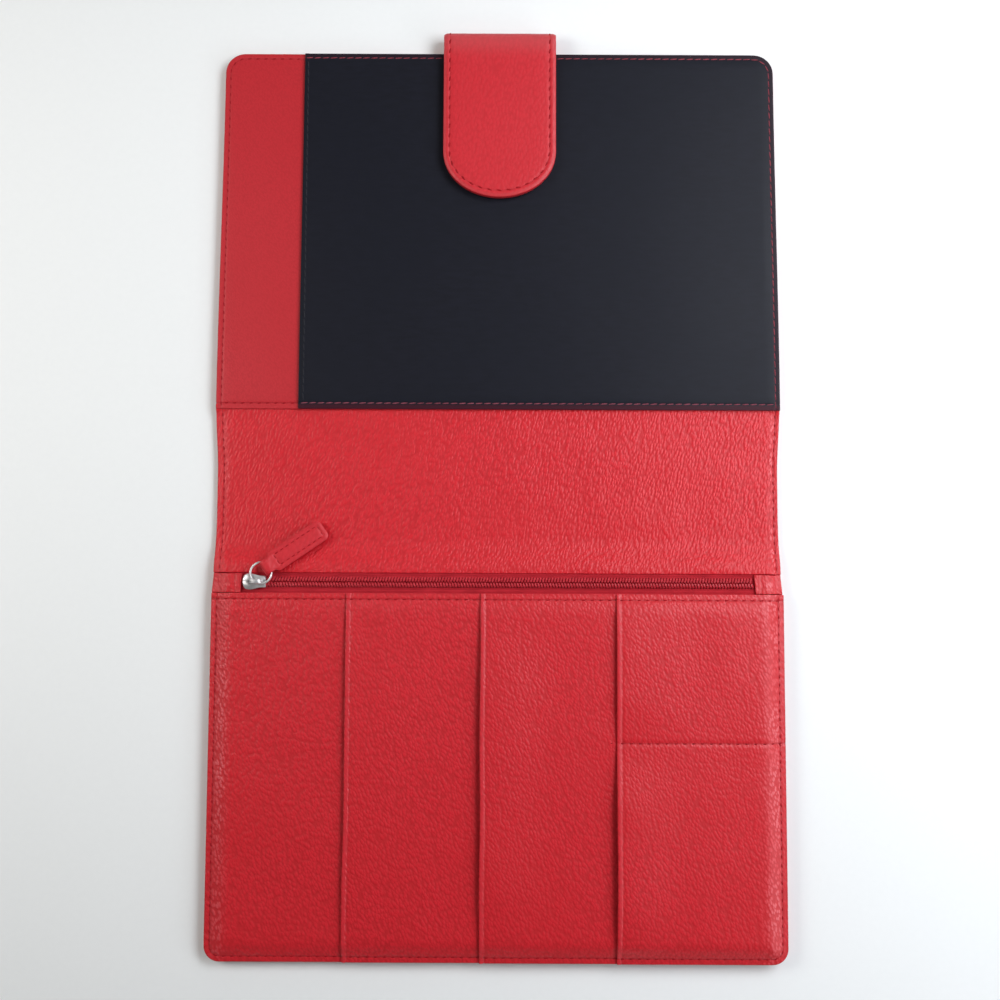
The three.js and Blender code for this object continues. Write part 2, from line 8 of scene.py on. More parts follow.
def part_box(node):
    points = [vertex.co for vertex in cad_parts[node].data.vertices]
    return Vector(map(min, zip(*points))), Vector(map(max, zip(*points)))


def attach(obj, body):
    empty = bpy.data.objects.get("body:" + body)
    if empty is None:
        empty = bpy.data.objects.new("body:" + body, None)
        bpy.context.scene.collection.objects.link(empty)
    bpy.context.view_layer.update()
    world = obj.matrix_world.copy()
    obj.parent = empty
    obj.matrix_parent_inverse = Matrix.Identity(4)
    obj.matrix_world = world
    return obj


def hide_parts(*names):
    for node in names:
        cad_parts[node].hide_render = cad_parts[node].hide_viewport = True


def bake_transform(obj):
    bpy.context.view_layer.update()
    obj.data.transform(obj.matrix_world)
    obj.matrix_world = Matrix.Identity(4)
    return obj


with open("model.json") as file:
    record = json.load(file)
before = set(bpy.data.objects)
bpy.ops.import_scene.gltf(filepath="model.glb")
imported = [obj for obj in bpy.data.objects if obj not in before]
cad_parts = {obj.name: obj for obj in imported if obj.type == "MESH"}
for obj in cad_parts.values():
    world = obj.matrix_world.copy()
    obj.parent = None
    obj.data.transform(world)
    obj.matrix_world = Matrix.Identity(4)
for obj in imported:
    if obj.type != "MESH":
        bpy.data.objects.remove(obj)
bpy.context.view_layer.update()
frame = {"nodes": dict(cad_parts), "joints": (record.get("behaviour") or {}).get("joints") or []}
scene = bpy.context.scene
print("frame loaded:", len(frame["nodes"]), "solids")

# camera, matched to the photograph
view = {"place": (0.0011, -0.0462, 0.5182), "tilt": 4.45, "roll": 0.24, "lens": 43.94, "sensor": 36}
camera = bpy.data.objects.new("camera", bpy.data.cameras.new("camera"))
camera.data.sensor_width = view["sensor"]
camera.data.lens = view["lens"]
camera.matrix_world = (Matrix.Translation(view["place"])
                       @ Matrix.Rotation(math.radians(view["tilt"]), 4, "X")
                       @ Matrix.Rotation(math.radians(view["roll"]), 4, "Z"))
scene.collection.objects.link(camera)
scene.camera = camera
scene.view_settings.view_transform = "Standard"


class Wire:  # an output socket that can be used in sums
    def __init__(self, tree, socket=None):
        self.tree, self.socket = tree, socket

    def node(self, kind, settings, sockets, out=0):
        made = self.tree.nodes.new(kind)
        for name, value in settings.items():
            setattr(made, name, value)
        for name, value in sockets.items():
            if isinstance(value, Wire):
                self.tree.links.new(value.socket, made.inputs[name])
            else:
                made.inputs[name].default_value = value
        return Wire(self.tree, made.outputs[out] if made.outputs else None)

    def sum(self, operation, a, b):
        return self.node("ShaderNodeMath", {"operation": operation}, {0: a, 1: b})

    def __add__(self, other):
        return self.sum("ADD", self, other)

    def __radd__(self, other):
        return self.sum("ADD", other, self)

    def __sub__(self, other):
        return self.sum("SUBTRACT", self, other)

    def __rsub__(self, other):
        return self.sum("SUBTRACT", other, self)

    def __mul__(self, other):
        return self.sum("MULTIPLY", self, other)

    def __rmul__(self, other):
        return self.sum("MULTIPLY", other, self)

    def noise(self, size, detail=2, out="Fac"):  # size of a feature in millimetres
        sockets = {"Vector": self, "Scale": 1000 / size, "Detail": detail}
        return self.node("ShaderNodeTexNoise", {}, sockets, out)

    def mix(self, a, b):  # colour a where this is 0, b where it is 1
        settings = {"data_type": "RGBA", "clamp_factor": True}
        return self.node("ShaderNodeMix", settings, {0: self, 6: a, 7: b}, 2)

    def fit(self, low, high):  # low..high eased to 0..1
        return self.node("ShaderNodeMapRange", {"interpolation_type": "SMOOTHSTEP"},
                         {"Value": self, "From Min": low, "From Max": high})

    def bump(self, strength, depth):  # depth in millimetres
        sockets = {"Strength": strength, "Distance": depth / 1000, "Height": self}
        return self.node("ShaderNodeBump", {}, sockets)

    def axis(self, name):  # one coordinate of a place
        return self.node("ShaderNodeSeparateXYZ", {}, {"Vector": self}, name)

    def squeezed(self, share):  # a place whose features come out longer along X
        return self.node("ShaderNodeMapping", {}, {"Vector": self, "Scale": (share, 1, 1)})

    def mark(self, name):  # a value kept on the mesh
        return self.node("ShaderNodeAttribute", {"attribute_name": name}, {}, "Fac")


def colour(*shades):  # 0..255 as in a picture, made linear
    return tuple(c / 255 / 12.92 if c < 11 else ((c / 255 + 0.055) / 1.055) ** 2.4 for c in shades) + (1,)


def makeFinish(name, build):
    finish = bpy.data.materials.new(name)
    finish.use_nodes = True
    finish.node_tree.nodes.clear()
    start = Wire(finish.node_tree)
    place = start.node("ShaderNodeTexCoord", {}, {}, "Object")
    shader = start.node("ShaderNodeBsdfPrincipled", {}, build(place))
    start.node("ShaderNodeOutputMaterial", {}, {"Surface": shader})
    return finish


def leatherFinish(look):
    def build(place):
        size = look["grain"]
        sway = place.noise(size * look["swaySize"], 2, "Color")
        bent = place.node("ShaderNodeVectorMath", {"operation": "MULTIPLY_ADD"},
                          {0: sway, 1: (size * look["sway"] / 1000,) * 3, 2: place})
        turned = bent.node("ShaderNodeMapping", {"vector_type": "TEXTURE"},
                           {"Vector": bent, "Rotation": (0, 0, look["lean"]),
                            "Scale": (1, look["stretch"], 1)})
        cells = turned.node("ShaderNodeTexVoronoi", {"feature": "SMOOTH_F1"},
                            {"Vector": turned, "Scale": 1000 / size, "Smoothness": look["blur"]})
        pebble = 1 - cells.fit(*look["cell"])
        fine = place.noise(size * look["fineSize"], 3)
        soft = place.noise(look["softSize"], 2)
        drift = place.noise(look["driftSize"], 2).fit(0.3, 0.7)
        wear_and_painted_light, painted_sheen = place.mark("wear_and_painted_light"), place.mark("painted_sheen")
        # the mark's positive part paints highlights on lips, folds and rolled edges; its negative part paints
        # shade in seam grooves and dips and darkens the cut edges
        lift, sunk = wear_and_painted_light.fit(0, 1), (0 - wear_and_painted_light).fit(0, 1)
        left = 1 - place.axis("X").fit(*look["leftSide"])
        grain = pebble * look["pebble"] * (1 + (look["leftGrain"] - 1) * left)
        height = grain * (1 - look["flatten"] * lift) + fine * 0.25 + soft * 0.5
        tops = (pebble * 0.55 + fine * 0.45).fit(0.15, 0.85)
        red = tops.mix(look["dark"], look["light"])
        red = (drift * look["drift"]).mix(red, look["warm"])
        # painted highlight where the mark is positive
        red = (lift * 0.35).mix(red, look["painted_highlight"])
        red = (painted_sheen * pebble.fit(0.42, 0.88)).mix(red, look["pale"])  # painted highlight on the pebble tops
        # painted shade where the mark is negative
        red = (sunk * 0.8).mix(red, look["deep"])
        rough = look["rough"] + 0.1 * (1 - pebble) + 0.08 * (fine - 0.5) - 0.06 * lift + 0.1 * sunk
        return {"Base Color": red, "Roughness": rough, "Normal": height.bump(look["strength"], look["depth"]),
                "Specular IOR Level": look["shine"]}
    return build


def clothFinish(look):
    def build(place):
        def threads(axis, pitch):  # even waves along one axis
            turned = place.axis(axis) * (2000 * math.pi / pitch)
            return turned.node("ShaderNodeMath", {"operation": "SINE"}, {0: turned})

        weave = threads("X", look["pitch"]) * threads("Y", look["pitch"]) * 0.5 + 0.5
        if look["rib"]:  # woven ribs along a tape
            weave = weave * (1 - look["rib"]) + (threads("Y", look["ribPitch"]) * 0.5 + 0.5) * look["rib"]
        fuzz = place.noise(look["fuzzSize"], 3)
        drift = place.noise(look["driftSize"], 3).fit(0.3, 0.7)
        slub = place.squeezed(look["slub"]).noise(look["slubSize"], 3).fit(0.3, 0.7)
        shade = (weave * 0.4 + fuzz * 0.25 + slub * 0.35).mix(look["dark"], look["light"])
        shade = (drift * 0.5).mix(shade, look["warm"])
        shade = place.mark("wear_and_painted_light").fit(0, 1).mix(shade, look["rim"])
        height = weave * look["weave"] + fuzz * 0.3
        return {"Base Color": shade, "Roughness": look["rough"] + 0.12 * (fuzz - 0.5),
                "Normal": height.bump(look["strength"], look["depth"]), "Specular IOR Level": look["shine"],
                "Sheen Weight": look["sheen"], "Sheen Roughness": 0.4, "Sheen Tint": look["sheenTint"]}
    return build


def threadFinish(dark, light):
    def build(place):
        twist = place.noise(0.35, 2)
        drift = place.noise(25, 2)
        shade = (twist * 0.7 + drift * 0.3).fit(0.25, 0.75).mix(dark, light)
        return {"Base Color": shade, "Roughness": 0.62 + 0.2 * twist, "Normal": twist.bump(0.4, 0.1),
                "Specular IOR Level": 0.25}
    return build


def metalFinish(look):
    def build(place):
        brushed = place.squeezed(0.25).noise(0.3, 3)
        cloud = place.noise(3, 2)
        shade = cloud.fit(0.3, 0.7).mix(look["dark"], look["light"])
        # painted shade: darker and rougher where the mark is negative, in the dish under the arch and down
        # the slider's sides
        dishShade = (0 - place.mark("wear_and_painted_light")).fit(0, 1)
        shade = dishShade.mix(shade, look["dishShade"])
        return {"Base Color": shade, "Metallic": look["metal"],
                "Roughness": look["rough"] + 0.14 * (brushed - 0.5) + 0.1 * (cloud - 0.5) + 0.2 * dishShade,
                "Normal": (brushed * 0.3 + cloud).bump(0.12, 0.1)}
    return build


def nylonFinish(dark, light):
    def build(place):
        cloud = place.noise(1.1, 2)
        shade = cloud.fit(0.3, 0.7).mix(dark, light)
        return {"Base Color": shade, "Roughness": 0.34 + 0.15 * cloud, "Normal": cloud.bump(0.1, 0.1)}
    return build


def cardFinish(dark, light):
    def build(place):
        fibre = place.squeezed(0.3).noise(0.8, 4)
        shade = fibre.fit(0.3, 0.7).mix(dark, light)
        return {"Base Color": shade, "Roughness": 0.8 + 0.1 * fibre, "Normal": fibre.bump(0.3, 0.1)}
    return build


# sizes in millimetres, apart from leftSide: the metres over which the grain changes from left to right
pebbledLook = {"grain": 1.06, "sway": 0.25, "swaySize": 1.6, "lean": 0.38, "stretch": 1.7, "blur": 0.25,
               "cell": (0.1, 0.95), "fineSize": 0.28, "softSize": 6, "driftSize": 45, "drift": 0.4,
               "leftGrain": 1.5, "leftSide": (-0.09, 0.06), "pebble": 0.9, "flatten": 0.7,
               "strength": 0.68, "depth": 0.175, "rough": 0.4, "shine": 0.47,
               "dark": colour(182, 20, 29), "light": colour(205, 30, 42), "warm": colour(194, 24, 33),
               # the highlight, pale and deep colours are painted light: highlights on lips, folds and rolled
               # edges, highlights on pebble tops, and shade in seams and dips
               "painted_highlight": colour(212, 62, 72), "pale": colour(232, 138, 142), "deep": colour(124, 8, 18)}
spineLook = dict(pebbledLook, grain=0.95, lean=-0.3, stretch=2.1, leftGrain=0.85, depth=0.3, shine=0.42,
                 dark=colour(186, 15, 27), light=colour(209, 24, 38), warm=colour(198, 18, 29))
smoothLook = dict(pebbledLook, shine=0.36, leftGrain=1.2, grain=0.62, pebble=0.35, strength=0.35, depth=0.16,
                  rough=0.44, dark=colour(176, 30, 38), light=colour(188, 36, 45), warm=colour(180, 29, 37))
# the flap's highlight colour is a painted highlight along its fold and rolled edges
flapLook = dict(pebbledLook, shine=0.36, leftGrain=1.0, grain=1.2, lean=-0.15, pebble=0.45, strength=0.4,
                depth=0.33, rough=0.45, painted_highlight=colour(184, 92, 94),
                dark=colour(186, 30, 39), light=colour(200, 38, 48), warm=colour(194, 32, 41))
blackLook = {"pitch": 0.62, "rib": 0, "weave": 0.6, "fuzzSize": 0.5, "driftSize": 40, "slub": 0.25,
             "slubSize": 1.6, "strength": 0.18, "depth": 0.12, "rough": 0.5, "shine": 0.19,
             "sheen": 0.05, "sheenTint": (0.6, 0.7, 1, 1), "dark": colour(12, 13, 21),
             "light": colour(22, 23, 34), "warm": colour(16, 18, 28), "rim": colour(56, 14, 28)}
bagLook = dict(blackLook, pitch=0.9, rough=0.8, sheenTint=(1, 0.7, 0.7, 1), dark=colour(104, 20, 28),
               light=colour(130, 30, 38), warm=colour(118, 24, 32), rim=colour(110, 22, 30))
tapeLook = dict(bagLook, pitch=0.95, rib=0.7, ribPitch=1.15, weave=1.2, strength=0.6,
                dark=colour(134, 12, 24), light=colour(196, 40, 52), warm=colour(166, 24, 36),
                rim=colour(150, 20, 30))
# the last colour is the painted shade in the slider's dish
silverLook = {"rough": 0.36, "metal": 0.7, "dark": colour(190, 188, 187), "light": colour(226, 224, 223),
              "dishShade": colour(104, 106, 106)}
steelLook = dict(silverLook, rough=0.42, metal=1.0, dark=colour(120, 122, 128), light=colour(150, 152, 158))

pebbled = makeFinish("pebbledLeather", leatherFinish(pebbledLook))
spineRed = makeFinish("spineLeather", leatherFinish(spineLook))
smoothRed = makeFinish("smoothLeather", leatherFinish(smoothLook))
flapRed = makeFinish("flapLeather", leatherFinish(flapLook))
blackCloth = makeFinish("blackCloth", clothFinish(blackLook))
bagCloth = makeFinish("bagCloth", clothFinish(bagLook))
tapeCloth = makeFinish("tapeCloth", clothFinish(tapeLook))
redThread = makeFinish("redThread", threadFinish(colour(132, 4, 16), colour(172, 14, 28)))
pinkThread = makeFinish("pinkThread", threadFinish(colour(98, 28, 40), colour(160, 86, 100)))
wineThread = makeFinish("wineThread", threadFinish(colour(98, 26, 38), colour(166, 72, 84)))
darkThread = makeFinish("darkThread", threadFinish(colour(22, 22, 26), colour(46, 46, 54)))
silver = makeFinish("silver", metalFinish(silverLook))
magnetSteel = makeFinish("magnetSteel", metalFinish(steelLook))
coilNylon = makeFinish("coilNylon", nylonFinish(colour(170, 26, 38), colour(194, 46, 58)))
boardCard = makeFinish("boardCard", cardFinish(colour(128, 112, 92), colour(152, 134, 112)))
print("finishes made")


# shapes are worked out in millimetres, and scaled when a piece is put in the scene
def lowest(node, axis):
    return round(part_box(node)[0]["xyz".index(axis)] * 1000, 2)


def highest(node, axis):
    return round(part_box(node)[1]["xyz".index(axis)] * 1000, 2)


def levels(node):  # underside and top of a flat solid
    return lowest(node, "z"), highest(node, "z")


hinges = {joint["name"]: [round(c * 1000, 2) for c in joint["pos_m"]]
          for joint in frame["joints"] if joint["type"] == "hinge"}
lay = {"half": highest("outer_cover_front", "x"), "waist": highest("outer_cover_spine", "x"),
       "bottom": lowest("outer_cover_front", "y"), "pocket": highest("pocket_panel", "y"),
       "zip": (lowest("zip_coil_lower", "y") + highest("zip_coil_upper", "y")) / 2,
       "frontCrease": hinges["front_crease"][1], "backCrease": hinges["back_crease"][1],
       "back": lowest("back_lining", "y"), "top": highest("back_lining", "y"),
       "frontCorner": 6.5, "backCorner": 8.5, "zipSide": (-37.4, 119.3), "straightTo": -46.6}
lay["middle"] = round((lay["frontCrease"] + lay["backCrease"]) / 2, 2)
lay["widths"] = ((lay["bottom"], lay["half"]), (lay["straightTo"], lay["half"]), lay["zipSide"],
                 (lay["frontCrease"], lay["waist"]), (lay["backCrease"], lay["waist"]),
                 (lay["back"], lay["half"]), (lay["top"], lay["waist"]))  # place along the cover, half width
closeSteps = (0, 0.6, 1.2, 1.8, 2.1, 2.4, 2.7, 3.2, 4.2, 5.4, 6.6, 8.2, 10)  # grid lines beside a sewn edge
edgeRound = {"sharp": 0.9, "segments": 3, "profile": 0.5, "shade": 48}


def ease(t):
    t = min(max(t, 0), 1)
    return t * t * (3 - 2 * t)


def between(a, b, t):
    return a + (b - a) * t


def ridge(t):  # 1 at 0, falling away to 0 at 1
    return 1 - ease(abs(t))


def wave(x, y, size, seed=0):
    return noise.noise(Vector((x / size, y / size, seed + 0.37)))


def alongStops(stops, at, shape):  # a value read off a row of (place, value) stops
    for (a0, w0), (a1, w1) in zip(stops, stops[1:]):
        if at <= a1:
            return between(w0, w1, shape((at - a0) / (a1 - a0)))
    return stops[-1][1]


def halfWidth(y):
    return alongStops(lay["widths"], y, ease)


def cornerAt(y):  # corner radius, and how far y is from that end of the cover
    return (lay["frontCorner"], y - lay["bottom"]) if y < 0 else (lay["backCorner"], lay["top"] - y)


def cornerGap(side, end, radius):  # how far inside a rounded corner, from the gaps to its two edges
    if side < radius and end < radius:
        return radius - math.hypot(radius - side, radius - end)
    return min(side, end)


def edgeGap(x, y):  # how far inside the cover's outline a point is
    radius, end = cornerAt(y)
    return cornerGap(halfWidth(y) - abs(x), end, radius)


def intoOutline(x, y):  # a point of the plain grid, moved in to the cover's rounded outline
    right, up = math.copysign(1, x), math.copysign(1, y)
    reach = lay["half"] / 2
    x += right * (halfWidth(y) - lay["half"]) * ease((abs(x) - reach) / reach)
    radius, end = cornerAt(y)
    side = halfWidth(y) - abs(x)
    if side < radius and end < radius:
        a, b = radius - side, radius - end
        share = max(a, b) / max(math.hypot(a, b), 1e-9)
        x += right * a * (share - 1)
        y += up * b * (share - 1)
    return x, y


def plain(x, y):
    return x, y


def gridLines(start, end, step, nearStart=(0,), nearEnd=(0,), extra=()):
    low, high = start + nearStart[-1], end - nearEnd[-1]
    count = max(1, round((high - low) / step))
    marks = [start + g for g in nearStart] + [between(low, high, k / count) for k in range(1, count)]
    marks += [end - g for g in reversed(nearEnd)]
    for mark in extra:  # a wanted line pushes out its close neighbours
        marks = [m for m in marks if abs(m - mark) > 0.25 or m in (start, end)] + [mark]
    return sorted(marks)


def acrossLines(step, extra=()):  # from side to side of the cover
    return gridLines(-lay["half"], lay["half"], step, closeSteps, closeSteps, extra)


def onlyVerts(geom):
    return [v for v in geom if isinstance(v, bmesh.types.BMVert)]


def facesOf(verts):
    return list({f for v in verts for f in v.link_faces})


def soften(bm, verts, offset, joined=()):  # rounds the sharp edges, but not along a line where pieces join
    faces = facesOf(verts)
    bmesh.ops.recalc_face_normals(bm, faces=faces)
    if not offset:
        return
    edges = [e for e in {e for f in faces for e in f.edges} if e.calc_face_angle(0) > edgeRound["sharp"]
             and not any(all(abs(v.co.y - y) < 1e-4 for v in e.verts) for y in joined)]
    bmesh.ops.bevel(bm, geom=edges, offset=offset, offset_type="OFFSET", affect="EDGES", material=-1,
                    segments=edgeRound["segments"], profile=edgeRound["profile"], clamp_overlap=True)


def putInScene(bm, name, finish, wear_and_painted_light=None, painted_sheen=None, bend=None):
    # marks kept on the vertices: painted light and shade with some real edge colour, and a painted highlight
    # on pebble tops
    for layer, value in (("wear_and_painted_light", wear_and_painted_light), ("painted_sheen", painted_sheen)):
        if value:
            kept = bm.verts.layers.float.new(layer)
            for v in bm.verts:
                v[kept] = value(v.co.x, v.co.y)
    for v in bm.verts if bend else ():
        v.co = bend(*v.co)
    bmesh.ops.recalc_face_normals(bm, faces=bm.faces[:])
    bmesh.ops.scale(bm, vec=(0.001,) * 3, verts=bm.verts[:])
    mesh = bpy.data.meshes.new(name)
    bm.to_mesh(mesh)
    bm.free()
    mesh.polygons.foreach_set("use_smooth", [True] * len(mesh.polygons))
    mesh.set_sharp_from_angle(angle=math.radians(edgeRound["shade"]))
    mesh.materials.append(finish)
    piece = bpy.data.objects.new(name, mesh)
    scene.collection.objects.link(piece)
    return piece


def addSheet(bm, xs, ys, place, top, under, rim, joined=()):
    # a grid on the wanted lines, given its height, then drawn down to its underside and softened
    made = bmesh.ops.create_grid(bm, x_segments=len(xs) - 1, y_segments=len(ys) - 1, size=1)["verts"]
    for v in made:
        x = xs[round((v.co.x + 1) / 2 * (len(xs) - 1))]
        y = ys[round((v.co.y + 1) / 2 * (len(ys) - 1))]
        x, y = place(x, y)
        v.co = x, y, top(x, y)
    lower = onlyVerts(bmesh.ops.extrude_face_region(bm, geom=facesOf(made), use_keep_orig=True)["geom"])
    for v in lower:
        v.co.z = under(v.co.x, v.co.y)
    soften(bm, made + lower, rim, joined)


def sheetPiece(name, finish, xs, ys, place, top, under, rim, joined=(), wear_and_painted_light=None, painted_sheen=None, bend=None):
    bm = bmesh.new()
    addSheet(bm, xs, ys, place, top, under, rim, joined)
    return putInScene(bm, name, finish, wear_and_painted_light, painted_sheen, bend)


def standIn(piece, nodes, body=None):  # what a piece replaces, and its body
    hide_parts(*nodes)
    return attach(piece, body) if body else piece


def tubeAlong(bm, path, radius, sides, endShare=0.72):  # a capped tube drawn along a few points
    points = [Vector(p) for p in path]
    rings = [bmesh.ops.create_circle(bm, segments=sides, radius=1, cap_ends=True)["verts"]]
    cap = rings[0][0].link_faces[:]
    for k in range(1, len(points)):
        drawn = bmesh.ops.extrude_face_region(bm, geom=cap, use_keep_orig=k == 1)["geom"]
        rings.append(onlyVerts(drawn))
        cap = [f for f in drawn if isinstance(f, bmesh.types.BMFace)]
    for k, verts in enumerate(rings):
        ahead = (points[min(k + 1, len(points) - 1)] - points[max(k - 1, 0)]).normalized()
        side = ahead.cross(Vector((1, 0, 0))).normalized()
        size = radius * (endShare if k in (0, len(points) - 1) else 1)
        for v in verts:
            v.co = points[k] + size * (side * v.co.x + ahead.cross(side) * v.co.y)


def addStitches(bm, path, look, lift=0.0, wanted=None):
    # thread drawn over the surface at even steps along a line of points
    points = [Vector(p) for p in path]
    lengths = [0.0]
    for a, b in zip(points, points[1:]):
        lengths.append(lengths[-1] + (b - a).length)

    def at(s):
        k = max(1, next((i for i, d in enumerate(lengths) if d >= s), len(lengths) - 1))
        span = max(lengths[k] - lengths[k - 1], 1e-9)
        return points[k - 1].lerp(points[k], (s - lengths[k - 1]) / span)

    count = max(1, int(lengths[-1] / look["pitch"]))
    pitch = lengths[-1] / count
    for n in range(count):
        s = (n + 0.5) * pitch
        a, b = at(s - look["length"] / 2), at(s + look["length"] / 2)
        middle = (a + b) / 2 + Vector((0, 0, lift))
        if wanted and not wanted(middle):
            continue
        ahead = (b - a).normalized()
        turn = ahead.to_track_quat("Z", "Y").to_matrix().to_4x4()
        lean = Matrix.Rotation(look["lean"], 4, "Z") if abs(ahead.z) < 0.7 else Matrix.Identity(4)
        size = Matrix.Diagonal((look["width"] / 2, look["width"] / 2, look["length"] / 2, 1))
        bmesh.ops.create_uvsphere(bm, u_segments=6, v_segments=5, radius=1,
                                  matrix=Matrix.Translation(middle) @ lean @ turn @ size)


stitch = {"pitch": 3.5, "length": 1.7, "width": 0.7, "lean": 0.16}
fineStitch = dict(stitch, width=0.55, length=3.1, lean=0.09)


def threadPiece(name, finish, runs, look=stitch):  # each run is a line of points and how far it is lifted
    bm = bmesh.new()
    for path, lift in runs:
        addStitches(bm, path, look, lift)
    return putInScene(bm, name, finish)


def roundPath(gap, end, steps=160, turns=12):  # from left to right round one end of the cover
    corner = lay["frontCorner"] if end < 0 else lay["backCorner"]
    inward = 1 if end < 0 else -1
    start = lay["pocket"] - 0.6 if end < 0 else lay["back"] + 0.6
    points = []
    for k in range(steps + 1):
        y = between(start, end + inward * corner, k / steps)
        points.append((gap - halfWidth(y), y))
    wide = halfWidth(end + inward * corner)
    for k in range(1, turns + 1):
        a = math.pi / 2 * k / turns
        points.append((-wide + corner - (corner - gap) * math.cos(a),
                       end + inward * (corner - (corner - gap) * math.sin(a))))
    across = [(between(points[-1][0], -points[-1][0], k / steps), points[-1][1]) for k in range(1, steps)]
    return points + across + [(-x, y) for x, y in reversed(points)]


def onTop(path, top):
    return [(x, y, top(x, y)) for x, y in path]


def line(x0, y0, x1, y1, steps=120):
    return [(between(x0, x1, k / steps), between(y0, y1, k / steps)) for k in range(steps + 1)]


# outer leather, in two pieces that meet in the middle of the spine
cover = {"thick": highest("outer_cover_spine", "z"), "hem": 2.5, "hemStep": 0.5, "frontHem": 3.4,
         "spineHem": 1.3, "backHem": 2.7, "frontSlope": (-37, 14), "backSlope": (29, 5), "bendReach": 4.0,
         "bendLevel": hinges["front_crease"][2], "seam": 2.4, "seamDip": 0.16, "score": 0.14,
         "scoreReach": 1.6, "tongue": (hinges["flap_lift"][0], 25.0), "tongueFrom": 150, "rim": 0.45,
         "notch": (-25.1, -24.3, 24.9, 25.7)}
creaseSteps = tuple(range(15))
meeting = (lay["middle"],)
frontCrease = (("front_panel", "spine"), lay["frontCrease"])
backCrease = (("spine", "back_panel"), lay["backCrease"])


def bendOver(piece, bodies, y):  # works out the ends of a bend beside a crease, and bakes the piece's place into its mesh
    start, end = ((0, (y + side * cover["bendReach"]) / 1000, cover["bendLevel"] / 1000) for side in (-1, 1))
    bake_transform(piece)


def slopeUp(y, slope):  # 0 to 1 from a place, over a reach
    return ease((y - slope[0]) / slope[1])


def hemTop(x, y):  # height of the turned-up edge
    if y < lay["middle"]:
        return between(cover["frontHem"], cover["spineHem"], slopeUp(y, cover["frontSlope"]))
    if y > cover["tongueFrom"] and abs(x - cover["tongue"][0]) < cover["tongue"][1]:
        return cover["spineHem"]
    return between(cover["spineHem"], cover["backHem"], slopeUp(y, cover["backSlope"]))


def coverTop(x, y):
    return between(hemTop(x, y), cover["thick"], ease((edgeGap(x, y) - cover["hem"]) / cover["hemStep"]))


def coverUnder(x, y):  # a shallow groove for the seam and a score along each crease
    score = max(ridge((y - lay[crease]) / cover["scoreReach"]) for crease in ("frontCrease", "backCrease"))
    return cover["seamDip"] * ridge((edgeGap(x, y) - cover["seam"]) / 0.7) + cover["score"] * score


# darker along the cut edge, and painted shade in the seam groove
def coverEdgeAndSeamShade(x, y):
    gap = edgeGap(x, y)
    return -0.55 * ridge(gap / 0.5) - 0.4 * ridge((gap - cover["seam"]) / 0.6)


for name, nodes, xs, ys, crease in (
        ("coverFront", ("outer_cover_front", "outer_cover_spine"), acrossLines(5),
         gridLines(lay["bottom"], lay["middle"], 3, closeSteps, creaseSteps), frontCrease),
        ("coverBack", ("outer_cover_back",), acrossLines(5, cover["notch"]),
         gridLines(lay["middle"], lay["top"], 3, creaseSteps, closeSteps), backCrease)):
    piece = sheetPiece(name, pebbled, xs, ys, intoOutline, coverTop, coverUnder, cover["rim"], meeting,
                       coverEdgeAndSeamShade)
    bendOver(standIn(piece, nodes), *crease)
print("outer leather made")

# inner leather over the spine
inner = {"thick": 1.2, "zipThick": 0.75, "level": highest("spine_lining_middle", "z"), "zipFold": -37.2,
         "zipRise": 3.1, "slope": 15, "tuck": highest("spine_lining_back", "y"), "seam": (2.8, 1.8),
         "seamDip": 0.2, "sewn": 0.85, "squeeze": 5, "swell": 0.28, "flatFrom": 30, "roll": 0.35,
         "rollPlace": (-33.5, 4.5), "lip": 0.3, "sheenFrom": (-8, 15)}


def innerSeam(x):  # the seam runs a little closer to the right edge
    return inner["seam"][0 if x < 0 else 1]


def innerLevel(y):  # higher beside the zip
    rise = inner["zipRise"] * (1 - ease((y - inner["zipFold"]) / inner["slope"])) if y < 0 else 0
    return inner["level"] + rise


def innerTop(x, y):
    gap = edgeGap(x, y)
    free = ease(gap / inner["squeeze"])
    swell = inner["swell"] * (wave(x * 0.6, y, 17, 3) + 0.6 * wave(x, y * 0.8, 9, 4)) * (
        free * ease((inner["flatFrom"] - y) / 6))
    rollAt, rollReach = inner["rollPlace"]
    swell += inner["roll"] * ridge((y - rollAt) / rollReach) * (0.5 + wave(x, 0, 21, 5)) * ease(gap / 8)
    z = between(hemTop(x, y) + inner["sewn"], innerLevel(y), free) + swell
    return z - inner["seamDip"] * ridge((gap - innerSeam(x)) / 0.7)


def innerUnder(x, y):
    thick = between(inner["zipThick"], inner["thick"], ease((y - inner["zipFold"]) / 6))
    under = between(hemTop(x, y) + 0.05, innerLevel(y) - thick, ease(edgeGap(x, y) / inner["squeeze"]))
    return min(under, innerTop(x, y) - 0.5)


# darker along the cut edge, painted shade in the seam groove, a painted highlight on the lip beside the left
# seam and painted shade there on the right, and a painted highlight on the fold by the zip
def innerPaintedLight(x, y):
    gap = edgeGap(x, y)
    lip = inner["lip"] if x < 0 else -inner["lip"]
    return (-0.5 * ridge(gap / 0.5) - 0.6 * ridge((gap - innerSeam(x)) / 0.55)
            + lip * ridge((gap - 1.1) / 0.7) + 0.25 * ridge((y - inner["zipFold"]) / 0.8))


# painted highlight: pale pebble tops inside the seams, on the left fading in along the spine
def innerPaintedSheen(x, y):
    gap, patch = edgeGap(x, y), ease(0.5 + wave(x, y, 14, 7))
    if x < 0:
        return 0.4 * ridge((gap - 4.2) / 1.6) * patch * slopeUp(y, inner["sheenFrom"])
    return 0.55 * ridge((gap - 3.0) / 1.3) * (0.4 + 0.6 * patch)


